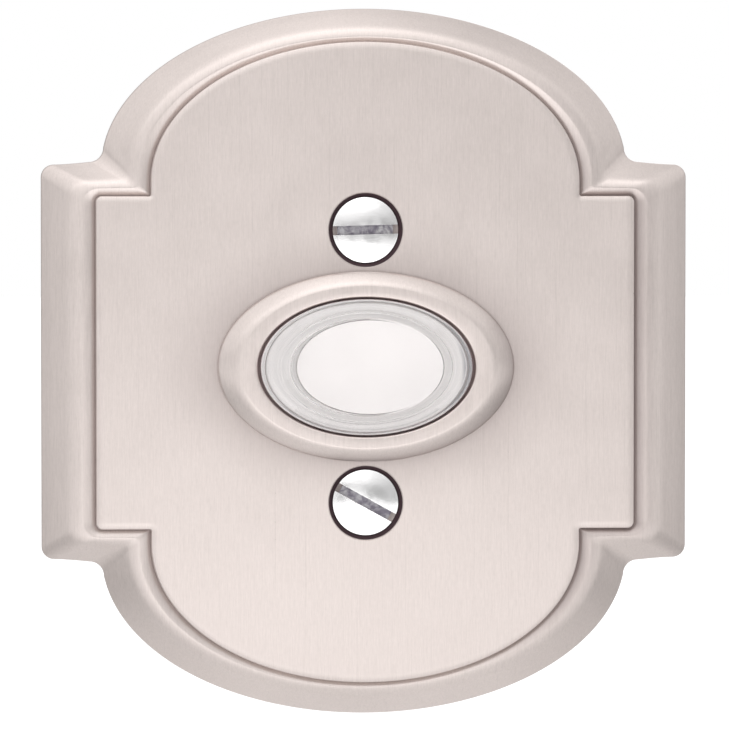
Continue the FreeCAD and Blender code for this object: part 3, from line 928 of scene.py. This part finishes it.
def plate_quarter(width, tab_side, tab_notch, arch, spring, top, corner, notch):
    """A quarter of the plate's outline, from the middle of its side to the top of its arch."""
    up = arch_points(arch, spring, top, tab_notch + notch, 60)
    points = [(width, (tab_side - corner) * i / 12) for i in range(12)]
    points += arc(width - corner, tab_side - corner, corner, corner, 0, 90, 10)
    foot_x = up[0][0] + notch
    side_x, side_z = points[-1]
    points += [(side_x + (foot_x - side_x) * i / 10, side_z + (tab_notch - side_z) * (i / 10) ** 1.5)
               for i in range(1, 10)]
    points += arc(foot_x, tab_notch + notch, notch, notch, 270, 180, 12)
    return points + up[1:]


def whole_outline(quarter):
    """Mirror a quarter to the whole outline, each point once."""
    right_top = quarter
    left_top = [(-x, z) for x, z in reversed(quarter[:-1])]
    left_bottom = [(-x, -z) for x, z in quarter[1:]]
    right_bottom = [(x, -z) for x, z in reversed(quarter[1:-1])]
    return right_top + left_top + left_bottom + right_bottom


def plate_outlines(sizes):
    """The plate's outer outline, its ridge, its field's outline and one set in from that."""
    inset = sizes.core_inset

    def towards(outer, inner, part=sizes.ridge_share):
        return outer + (inner - outer) * part

    width, end = plate_high.x, plate_high.z
    quarters = (
        plate_quarter(width, sizes.tab_side, sizes.tab_notch, sizes.arch_half, sizes.arch_spring, end,
                      sizes.corner_radius, sizes.notch_radius),
        plate_quarter(towards(width, sizes.field_half_width), towards(sizes.tab_side, sizes.field_tab),
                      towards(sizes.tab_notch, sizes.field_tab), towards(sizes.arch_half, sizes.field_arch),
                      towards(sizes.arch_spring, sizes.field_spring),
                      towards(end, sizes.field_end, sizes.ridge_end),
                      sizes.ridge_corner, sizes.ridge_notch),
        plate_quarter(sizes.field_half_width, sizes.field_tab, sizes.field_tab, sizes.field_arch,
                      sizes.field_spring, sizes.field_end, sizes.field_corner, sizes.field_notch),
        plate_quarter(sizes.field_half_width - inset, sizes.field_tab - inset, sizes.field_tab - inset,
                      sizes.field_arch - inset, sizes.field_spring, sizes.field_end - inset,
                      0.05 * MM, sizes.field_notch + inset),
    )
    return [whole_outline(quarter) for quarter in quarters]


def smooth_through(points, steps):
    """A smooth run of points through all the given ones."""
    ends = [points[0]] + list(points) + [points[-1]]
    run = [points[0]]
    for a, b, c, d in zip(ends, ends[1:], ends[2:], ends[3:]):
        for i in range(1, steps + 1):
            t = i / steps
            run.append(tuple(
                0.5 * (2 * b[k] + (c[k] - a[k]) * t + (2 * a[k] - 5 * b[k] + 4 * c[k] - d[k]) * t * t
                       + (3 * b[k] - a[k] - 3 * c[k] + d[k]) * t ** 3) for k in range(2)))
    return run


def moulding_section(sizes):
    """The moulding's points, from the wall to the field: the outline's number, the height and the painted shade.
    """
    top, rim, ridge, groove = -plate_low.y, sizes.rim_height, sizes.ridge_height, sizes.groove_height
    crest = sizes.ridge_share
    points = [(0.0, 0.0), (0.0, (rim - sizes.rim_round) / 2)]
    points += arc(0.045, rim - sizes.rim_round, 0.045, sizes.rim_round, 180, 115, 5)
    start = points.pop()
    rise, fall = ridge - start[1], ridge - groove
    slope = [start]
    slope += [(place, start[1] + part * rise) for place, part in (
        (0.18, 0.30), (0.34, 0.585), (0.45, 0.775), (0.52, 0.878), (0.58, 0.935), (0.66, 0.978), (crest, 1.0))]
    slope += [(crest + away, ridge - part * fall) for away, part in (
        (0.05, 0.07), (0.10, 0.22), (0.15, 0.42), (0.19, 0.62), (0.22, 0.82))]
    slope.append((0.995, groove))
    points += smooth_through(slope, 3)
    foot, shoulder = groove + 0.15 * MM, top - sizes.edge_drop - sizes.edge_round
    wide = sizes.edge_width / sizes.core_inset
    points += [(1.01, foot), (1.03, (foot + shoulder) / 2), (1.05, shoulder)]
    points += [(1.05 + wide * (1 - math.cos(a)), shoulder + sizes.edge_round * math.sin(a))
               for a in (math.pi / 2 * i / 7 for i in range(1, 8))]
    points += [(1.05 + wide + away, top - part * sizes.edge_drop) for away, part in (
        (0.08, 0.62), (0.18, 0.30), (0.34, 0.08), (0.50, 0.0))]
    # The third value is painted shade: none near the wall, growing from part way across the moulding to full at
    # the groove, then fading up the field's wall to its shoulder
    section = []
    for place, height in points:
        grime = max(0.0, (place - sizes.grime_share) / (1 - sizes.grime_share))
        if place < crest:
            section.append((place / crest, height, grime))
        elif place < 1:
            section.append((1 + (place - crest) / (1 - crest), height, grime))
        else:
            grime = max(0.0, (shoulder - height) / (shoulder - groove))
            section.append((1 + place, height, grime))
    return section


def scaled_ring(outer, inner, amount, height):
    """One ring of the plate's outline, part of the way in, at a height."""
    return [Vector((a[0] + (b[0] - a[0]) * amount, -height, a[1] + (b[1] - a[1]) * amount))
            for a, b in zip(outer, inner)]


def capped(made):
    """Close every open ring of a mesh with one face."""
    shape = bmesh.new()
    shape.from_mesh(made.data)
    open_edges = [edge for edge in shape.edges if edge.is_boundary]
    bmesh.ops.edgeloop_fill(shape, edges=open_edges)
    bmesh.ops.recalc_face_normals(shape, faces=shape.faces)
    shape.to_mesh(made.data)
    shape.free()
    return made


def ring_block(name, rings):
    """A closed solid through rings that have the same number of points."""
    shape = bmesh.new()
    rows = [[shape.verts.new(point) for point in ring] for ring in rings]
    count = len(rows[0])
    for low, high in zip(rows, rows[1:]):
        for i in range(count):
            shape.faces.new((low[i], low[(i + 1) % count], high[(i + 1) % count], high[i]))
    shape.faces.new(rows[0])
    shape.faces.new(rows[-1])
    bmesh.ops.recalc_face_normals(shape, faces=shape.faces)
    mesh = bpy.data.meshes.new(name)
    shape.to_mesh(mesh)
    shape.free()
    return linked(name, mesh)


class PUSHBUTTON_OT_plate(bpy.types.Operator):
    """Build the cast wall plate with its moulding, screw holes and hollow back"""
    bl_idname = "pushbutton.plate"
    bl_label = "Wall plate"

    def execute(self, context):
        scene = context.scene
        sizes, button, colours = scene.bell_plate, scene.bell_button, scene.bell_finishes
        nickel = satin_nickel(colours)
        outer, ridge, inner, core = plate_outlines(sizes)
        base = bpy.data.meshes.new("plate_outline")
        base.from_pydata([(x, 0.0, z) for x, z in outer], [], [])
        for name, outline in (("ridge", ridge), ("inner", inner), ("core", core)):
            attribute = base.attributes.new(name, "FLOAT_VECTOR", "POINT")
            for i, (x, z) in enumerate(outline):
                attribute.data[i].vector = (x, 0.0, z)
        section = linked("plate_section", section_mesh("plate_section", moulding_section(sizes)))
        plate = run_tree("wall_plate", "Moulding", base, Section=section, Material=nickel)
        bpy.data.objects.remove(section)
        capped(plate)
        carved(plate, self.tools(sizes, button, outer, inner))
        field = -plate_low.y
        # Take the painted shade off the points in the middle of the field
        for vertex, grime in zip(plate.data.vertices, plate.data.attributes["grime"].data):
            if max(abs(vertex.co.x), abs(vertex.co.z - middle_z)) < sizes.field_arch - MM:
                grime.value = 0.0
        creased(plate)

        # Painted shadow: the recess walls round each screw head take the near-black finish
        def in_recess(centre, normal):
            away = math.hypot(centre.x, abs(centre.z - middle_z) - screw_drop)
            near_wall = abs(away - sizes.sink_radius + 0.24 * MM) < 0.26 * MM
            return near_wall and 0.01 * MM < -centre.y < field - 0.01 * MM

        def at_back(centre, normal):
            return -centre.y < sizes.cavity_depth + 0.01 * MM and (
                normal.y > 0.5 or self.inside(centre, outer, inner, 0.4))

        painted(plate, (raw_casting(colours), at_back), (dark_recess(colours), in_recess))
        settle(plate, "plate", "satin_nickel", "rose_plate")
        return {"FINISHED"}

    def inside(self, centre, outer, inner, amount):
        """Whether a point lies well inside the outline."""
        if abs(centre.z) > plate_high.z - 1.2 * MM or abs(centre.x) > plate_high.x - 1.2 * MM:
            return False
        ring = scaled_ring(outer, inner, amount, 0.0)
        hits = 0
        for a, b in zip(ring, ring[1:] + ring[:1]):
            if (a.z > centre.z) != (b.z > centre.z):
                x = a.x + (centre.z - a.z) * (b.x - a.x) / (b.z - a.z)
                hits += x > centre.x
        return hits % 2 == 1

    def tools(self, sizes, button, outer, inner):
        """The solids that are cut out of the casting."""
        field, depth, below = -plate_low.y, sizes.cavity_depth, MM
        foot = depth - 0.4 * MM
        cavity = ring_block("cavity", [
            scaled_ring(outer, inner, sizes.cavity_share + further, height)
            for further, height in ((0.0, -below), (0.0, 0.0), (0.05, foot), (0.10, depth))])
        boss, tapped = sizes.boss_radius, sizes.ear_hole_radius
        hole, sink = sizes.hole_radius, sizes.sink_radius
        boss_profile = [(0.0, -2 * below), (boss, -2 * below), (boss, 0.0), (boss + 0.1 * MM, foot),
                        (boss + 0.5 * MM, depth + below), (0.0, depth + below)]
        carved(cavity, [turned("boss", boss_profile, None, 72, z=middle_z + end * screw_drop)
                        for end in (-1, 1)])
        bore = button.skirt + button.skirt_fit
        bore_profile = [(0.0, -below), (bore, -below), (bore, field + below), (0.0, field + below)]
        tools = [cavity, turned("bore", bore_profile, None, button.segments, button.ratio, z=middle_z)]
        rim, edge = field - sizes.sink_wall, 0.10 * MM
        screw_profile = [(0.0, -below), (hole, -below), (hole, rim - (sink - hole)),
                         (sink - 0.5 * MM, rim - 0.5 * MM), (sink, rim), (sink, field - edge),
                         (sink + edge, field), (sink + edge, field + below), (0.0, field + below)]
        end_depth = depth + sizes.ear_hole_depth
        tapped_profile = [(0.0, depth - below), (tapped, depth - below), (tapped, end_depth - 0.4 * MM),
                          (0.0, end_depth)]
        for end in (-1, 1):
            tools.append(turned("screw_hole", screw_profile, None, 120, z=middle_z + end * screw_drop))
            tools.append(turned("tapped_hole", tapped_profile, None, 48, x=end * sizes.ear_hole_x, z=middle_z))
        return tools


# Bezel, lens and disc

class PUSHBUTTON_OT_bezel(bpy.types.Operator):
    """Build the oval bezel with its rounded flange, its lip and its skirt"""
    bl_idname = "pushbutton.bezel"
    bl_label = "Oval bezel"

    def execute(self, context):
        sizes = context.scene.bell_button
        field, front, back = -plate_low.y, -bezel_low.y, -bezel_high.y
        outer = (bezel_high.z - bezel_low.z) / 2
        edge = sizes.opening_edge
        rise, width = front - field, sizes.bezel_round
        # The third value of a point is painted shade: full at the bezel's foot, fading up its rounded edge to
        # none at the front
        profile = [(sizes.skirt, back), (sizes.skirt, field), (outer - 0.1 * MM, field, 1.0),
                   (outer, field + 0.08 * MM, 0.9), (outer, field + 0.2 * rise, 0.75)]
        rounding = smooth_through([(outer - inward * width, field + up * rise) for inward, up in (
            (0.0, 0.40), (0.03, 0.48), (0.15, 0.58), (0.30, 0.692), (0.48, 0.808), (0.65, 0.904), (0.80, 0.964),
            (0.92, 0.994), (1.0, 1.0))], 2)
        profile += [(x, min(y, front), 0.95 * max(0.0, (front - y) / rise) ** 0.6) for x, y in rounding]
        profile += [(sizes.opening + edge + 0.5 * MM, front), (sizes.opening + edge, front)]
        profile += arc(sizes.opening + edge, front - edge, edge, edge, 90, 180, 5)[1:]
        profile += [(sizes.opening, front - sizes.lip), (sizes.bore, front - sizes.lip), (sizes.bore, back),
                    (sizes.skirt, back)]
        bezel = turned("oval_bezel", profile, bpy.data.materials["nickel_finish"], sizes.segments, sizes.ratio,
                       0.0, middle_z)
        creased(bezel, 28.0)
        settle(bezel, "plate", "satin_nickel", "bezel_ring")
        return {"FINISHED"}


class PUSHBUTTON_OT_button(bpy.types.Operator):
    """Build the clear stepped lens and the white disc behind its window"""
    bl_idname = "pushbutton.button"
    bl_label = "Lens and disc"

    def execute(self, context):
        scene = context.scene
        sizes, colours = scene.bell_button, scene.bell_finishes
        front, back = -lens_low.y, -lens_high.y
        acrylic = clear("clear_acrylic", colours.acrylic, 0.6, 0.86, 1.49, 0.03, 0.09, 0.008 * MM)
        lens = turned("clear_lens", self.lens_profile(sizes, front, back), acrylic, sizes.segments, sizes.ratio,
                      0.0, middle_z)
        disc_x = (disc_low.x + disc_high.x) / 2
        roof = sizes.pocket_roof + sizes.film
        pocket = turned("pocket", [(0.0, back - MM), (sizes.pocket, back - MM), (sizes.pocket, roof - 0.1 * MM),
                                   (sizes.pocket - 0.1 * MM, roof), (0.0, roof)],
                        None, sizes.segments, sizes.ratio, disc_x, middle_z)
        carved(lens, [pocket])
        creased(lens, 25.0)
        # Painted shadow: the lens's side wall and flange front get the dark rim plastic, where the gap round it
        # lies in shade
        rim = plastic("dark_rim", colours.rim, 0.4, 0.6, 0.01 * MM)

        def at_rim(centre, normal):
            away = math.hypot(centre.x / sizes.ratio, centre.z - middle_z)
            return away > sizes.lens - 0.03 * MM and -centre.y > sizes.flange_front - 0.01 * MM

        painted(lens, (rim, at_rim))
        settle(lens, "button", "clear_acrylic", "button_lens")
        disc_front, disc_back = -disc_low.y, -disc_high.y
        disc_size = (disc_high.z - disc_low.z) / 2
        soft = 0.08 * MM
        profile = [(0.0, disc_front)]
        profile += [(disc_size - soft + x, y) for x, y in arc(0.0, disc_front - soft, soft, soft, 90, 0, 4)]
        profile += [(disc_size, disc_back), (0.0, disc_back)]
        white = lit_disc(colours)
        disc = turned("white_disc", profile, white, sizes.segments, sizes.ratio, disc_x, middle_z)
        creased(disc)
        settle(disc, "button", "white_disc", "diffuser_disc")
        return {"FINISHED"}

    def lens_profile(self, sizes, front, back):
        """From the window's middle over the stepped rings to the flange and its flat back."""
        size = sizes.lens
        edge = ((0.10, 0.14), (0.03, 0.24), (0.0, 0.40))
        profile = [(0.0, front)]
        profile += [(radius * MM, front - depth * MM) for radius, depth in LENS_STEPS]
        profile += [(size - inset * MM, front - depth * MM) for inset, depth in edge]
        profile += [(size, sizes.flange_front), (sizes.flange, sizes.flange_front)]
        return profile + [(sizes.flange, back + sizes.film), (0.0, back + sizes.film)]


# Wall screws

class PUSHBUTTON_OT_wall_screws(bpy.types.Operator):
    """Build the two slotted wood screws with their threads and points"""
    bl_idname = "pushbutton.wall_screws"
    bl_label = "Wall screws"

    def execute(self, context):
        scene = context.scene
        sizes = scene.bell_screws
        chrome = bright_chrome(scene.bell_finishes)
        wear_and_shade = worn_slot(scene.bell_finishes)
        for end, name, solid, angle in ((1, "top_wood_screw", "wall_screw_top", sizes.top_angle),
                                        (-1, "bottom_wood_screw", "wall_screw_bottom", sizes.bottom_angle)):
            screw = self.screw(name, sizes, chrome, wear_and_shade, angle, middle_z + end * screw_drop)
            settle(screw, "plate", "bright_chrome", solid)
        return {"FINISHED"}

    def screw(self, name, sizes, chrome, wear_and_shade, angle, z):
        """One screw, its slot turned by an angle."""
        head = screw_high.x
        top, tip = -screw_low.y, -screw_high.y
        seat = top - sizes.rim
        neck_start = seat - (head - sizes.neck)
        wall = 0.0
        soft = 0.06 * MM
        body = turned(name, [
            (0.0, top), (head - 2 * soft, top), (head - 0.6 * soft, top - 0.4 * soft), (head, top - 2 * soft),
            (head, seat), (head - soft, seat - soft),
            (sizes.neck + soft, neck_start + soft), (sizes.neck, neck_start - soft),
            (sizes.neck, wall + 0.4 * MM), (sizes.core, wall - 0.2 * MM),
            (sizes.core, tip + sizes.point), (0.12 * MM, tip + 0.1 * MM), (0.0, tip)],
            chrome, 120)
        slot = block("slot", (-head - MM, -top - MM, -sizes.slot_width / 2),
                     (head + MM, -top + sizes.slot_depth, sizes.slot_width / 2))
        slot.data.transform(Matrix.Rotation(-angle, 4, "Y"))
        carved(body, [slot])
        inward = Matrix.Rotation(angle, 3, "Y")

        def in_slot(centre, normal):
            between = abs((inward @ centre).z) < sizes.slot_width / 2 + 0.01 * MM
            deep = top - sizes.slot_depth - 0.01 * MM < -centre.y < top - 0.01 * MM
            return between and deep and centre.xz.length < head - 0.02 * MM

        painted(body, (wear_and_shade, in_slot))
        span = wall - tip - 0.3 * MM
        ridge = run_tree(name + "_thread", "Screw thread", bpy.data.meshes.new("none"),
                         Turns=span / sizes.pitch, Pitch=sizes.pitch, Core=sizes.core, Crest=sizes.thread,
                         Taper=sizes.point, Material=chrome)
        outward(ridge)
        creased(body, 30.0)
        creased(ridge, 40.0)
        return self.joined(body, ridge, z)

    def joined(self, body, ridge, z):
        """One mesh of two, moved to the screw's place."""
        shape = bmesh.new()
        shape.from_mesh(body.data)
        shape.from_mesh(ridge.data)
        mesh = body.data
        bpy.data.objects.remove(ridge)
        shape.to_mesh(mesh)
        shape.free()
        mesh.transform(Matrix.Translation((0.0, 0.0, z)))
        return body


# Switch parts

class PUSHBUTTON_OT_spring(bpy.types.Operator):
    """Build the return spring, which shortens as the button is pressed"""
    bl_idname = "pushbutton.spring"
    bl_label = "Return spring"

    def execute(self, context):
        scene = context.scene
        sizes = scene.bell_switch
        steel = metal("spring_steel", scene.bell_finishes.steel, 0.25, 0.4)
        height = spring_high.y - spring_low.y - 2 * sizes.wire_radius
        spring = run_tree("coil_spring", "Wire coil", bpy.data.meshes.new("none"), Radius=sizes.spring_radius,
                          Wire=sizes.wire_radius, Turns=float(sizes.spring_turns), Height=height, Material=steel)
        points = [point.co for point in spring.data.vertices]
        low = min(point.y for point in points)
        spring.data.transform(Matrix.Translation((0.0, spring_low.y - low, middle_z)))
        outward(spring)
        creased(spring, 60.0)
        settle(spring, "plate", "spring_steel", "return_spring")
        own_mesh(spring)
        return {"FINISHED"}


class PUSHBUTTON_OT_switch(bpy.types.Operator):
    """Give the housing, the board, the contacts and the small parts their finishes"""
    bl_idname = "pushbutton.switch"
    bl_label = "Switch parts"

    def execute(self, context):
        colours = context.scene.bell_finishes
        brass = metal("brass", colours.brass, 0.22, 0.42, 0.6)
        zinc = metal("zinc_steel", colours.zinc, 0.24, 0.45, 0.75)
        finishes = {
            "switch_housing": plastic("black_plastic", colours.housing, 0.38, 0.52, 0.02 * MM),
            "plunger": lit_carrier(colours, context.scene.bell_button.ratio),
            "terminal_board": pressed_board(colours),
            "lamp": clear("lamp_glass", colours.glass, 0.5, 0.85, 1.5, 0.02, 0.12, 0.01 * MM),
            "lamp_resistor": banded_resistor(colours),
            "contact_bridge": brass,
        }
        for side in ("left", "right"):
            for word in ("contact_rivet_", "terminal_plate_"):
                finishes[word + side] = brass
            for word in ("terminal_washer_", "terminal_screw_", "board_screw_", "housing_screw_"):
                finishes[word + side] = zinc
        for name, material in finishes.items():
            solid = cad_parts[name]
            solid.data.materials.clear()
            solid.data.materials.append(material)
        return {"FINISHED"}


# Stage

class PUSHBUTTON_OT_stage(bpy.types.Operator):
    """Set the pale floor, the white surroundings, the lamps and the camera"""
    bl_idname = "pushbutton.stage"
    bl_label = "Stage"

    def execute(self, context):
        scene = context.scene
        sizes = scene.bell_stage
        scene.view_settings.view_transform = "Standard"
        self.floor(sizes, scene.bell_finishes)
        self.surroundings(scene)
        self.lamps()
        self.camera(scene, sizes)
        return {"FINISHED"}

    def floor(self, sizes, colours):
        """A pale floor, white to the camera, with its own strip of light for what mirrors it."""
        left, right, front, back = -1.5, 1.5, -0.6, 2.5
        drop = -sizes.floor_drop
        mesh = bpy.data.meshes.new("floor")
        corners = [(left, front, drop), (right, front, drop), (right, back, drop), (left, back, drop)]
        mesh.from_pydata(corners, [], [(0, 1, 2, 3)])
        floor = linked("floor", mesh)
        material, tree = new_material("studio_floor")
        place = object_place(tree)
        seen = Outputs(node(tree, "ShaderNodeLightPath"))
        dressed(material, {
            "Base Color": blended(noise(place, 3.0, 1.0), scaled(colours.floor, 0.985), colours.floor),
            "Roughness": 0.9,
            "Emission Color": WHITE,
            "Emission Strength": seen["Is Camera Ray"] * 0.25,
        })
        axes = axes_of(place)
        near = remap(axes["Y"], -220 * MM, -45 * MM, 2.5, 1.03)
        aside = remap(abs(axes["X"]), 20 * MM, 90 * MM, 1.0, 0.52)
        glow = term(tree, "ShaderNodeEmission", {"Strength": near * aside})
        plain = Term(tree.nodes["Principled BSDF"].outputs[0])
        both = term(tree, "ShaderNodeMixShader", {0: seen["Is Glossy Ray"], 1: plain, 2: glow})
        feed(tree.nodes["Material Output"], {"Surface": both})
        mesh.materials.append(material)

    def surroundings(self, scene):
        """White to the camera; for light and reflections brighter above and in front."""
        world = bpy.data.worlds.new("surroundings")
        scene.world = world
        world.use_nodes = True
        tree = world.node_tree
        axes = axes_of(term(tree, "ShaderNodeTexCoord", output="Generated"))
        overall = 1.01
        tall = ramp(axes["Z"], -1.0, 1.0, UPRIGHT_LEVELS)
        wide = ramp(axes["X"], -1.0, 1.0, SIDEWAYS_LEVELS)
        across = wide + remap(axes["Z"], 0.15, 0.7, 0.0, 0.34) * (1.0 - wide)
        level = remap(abs(axes["Z"] + 0.02), 0.06, 0.16, 1.0, 0.0)
        ahead = remap(abs(axes["X"]), 0.15, 0.35, 1.0, 0.0)
        dip = 1.0 - level * ahead * 0.55
        behind = remap(axes["Y"], -0.25, 0.35, overall, 0.5 * overall)
        soft = tall * across * (dip * behind)
        camera_ray = Outputs(node(tree, "ShaderNodeLightPath"))["Is Camera Ray"]
        strength = (1.0 - camera_ray) * soft + camera_ray
        feed(tree.nodes["Background"], {"Color": WHITE, "Strength": strength})

    def lamps(self):
        """Soft area lamps: each has a place, a point that it looks at, a size and a power."""
        lamps = (
            ("key_softbox", (-0.35, -0.55, 0.40), (0.0, 0.0, 0.0), 0.30, 0.12),
            ("top_softbox", (0.0, -0.42, 0.42), (0.0, -0.22, -0.06), 0.35, 0.15),
            ("back_softbox", (0.35, 0.70, 0.35), (0.0, 0.0, 0.0), 0.50, 1.0),
        )
        for name, place, target, size, power in lamps:
            light = bpy.data.lights.new(name, "AREA")
            light.size = size
            light.energy = power
            lamp = linked(name, light)
            lamp.location = place
            lamp.rotation_euler = (Vector(target) - Vector(place)).to_track_quat("-Z", "Y").to_euler()

    def camera(self, scene, sizes):
        data = bpy.data.cameras.new("camera")
        data.lens = data.sensor_width * sizes.distance / sizes.view_width
        camera = linked("camera", data)
        turn, lift = sizes.azimuth, sizes.elevation
        back = Vector((math.sin(turn) * math.cos(lift), -math.cos(turn) * math.cos(lift), math.sin(lift)))
        aim = Vector((sizes.aim_x, 0.0, sizes.aim_z))
        camera.location = aim + back * sizes.distance
        camera.rotation_euler = (-back).to_track_quat("-Z", "Y").to_euler()
        scene.camera = camera


class PUSHBUTTON_PT_panel(bpy.types.Panel):
    """The sizes, the colours and a button for each group of pieces"""
    bl_label = "Push button"
    bl_idname = "PUSHBUTTON_PT_panel"
    bl_space_type = "VIEW_3D"
    bl_region_type = "UI"
    bl_category = "Push button"

    def draw(self, context):
        layout = self.layout
        for operator in OPERATORS:
            layout.operator(operator.bl_idname)
        for attribute, group in GROUPS:
            box = layout.box()
            for name in group.__annotations__:
                box.prop(getattr(context.scene, attribute), name)


OPERATORS = (
    PUSHBUTTON_OT_plate,
    PUSHBUTTON_OT_bezel,
    PUSHBUTTON_OT_button,
    PUSHBUTTON_OT_wall_screws,
    PUSHBUTTON_OT_spring,
    PUSHBUTTON_OT_switch,
    PUSHBUTTON_OT_stage,
)
GROUPS = (
    ("bell_plate", PlateSizes),
    ("bell_button", ButtonSizes),
    ("bell_screws", ScrewSizes),
    ("bell_switch", SwitchSizes),
    ("bell_finishes", Finishes),
    ("bell_stage", StageSizes),
)


def register():
    for attribute, group in GROUPS:
        bpy.utils.register_class(group)
        setattr(bpy.types.Scene, attribute, bpy.props.PointerProperty(type=group))
    for operator in OPERATORS:
        bpy.utils.register_class(operator)
    bpy.utils.register_class(PUSHBUTTON_PT_panel)


def unregister():
    bpy.utils.unregister_class(PUSHBUTTON_PT_panel)
    for operator in reversed(OPERATORS):
        bpy.utils.unregister_class(operator)
    for attribute, group in reversed(GROUPS):
        delattr(bpy.types.Scene, attribute)
        bpy.utils.unregister_class(group)


def main():
    register()
    for effect in (brushed_grain, cast_mottle, smudges, moulded_skin, carrier_rings, nickel_painted_shade):
        effect()
    for tree in (turned_tree, moulding_tree, thread_tree, coil_tree):
        tree()
    bpy.ops.pushbutton.plate()
    bpy.ops.pushbutton.bezel()
    bpy.ops.pushbutton.button()
    bpy.ops.pushbutton.wall_screws()
    bpy.ops.pushbutton.spring()
    bpy.ops.pushbutton.switch()
    bpy.ops.pushbutton.stage()


if __name__ == "__main__":
    main()
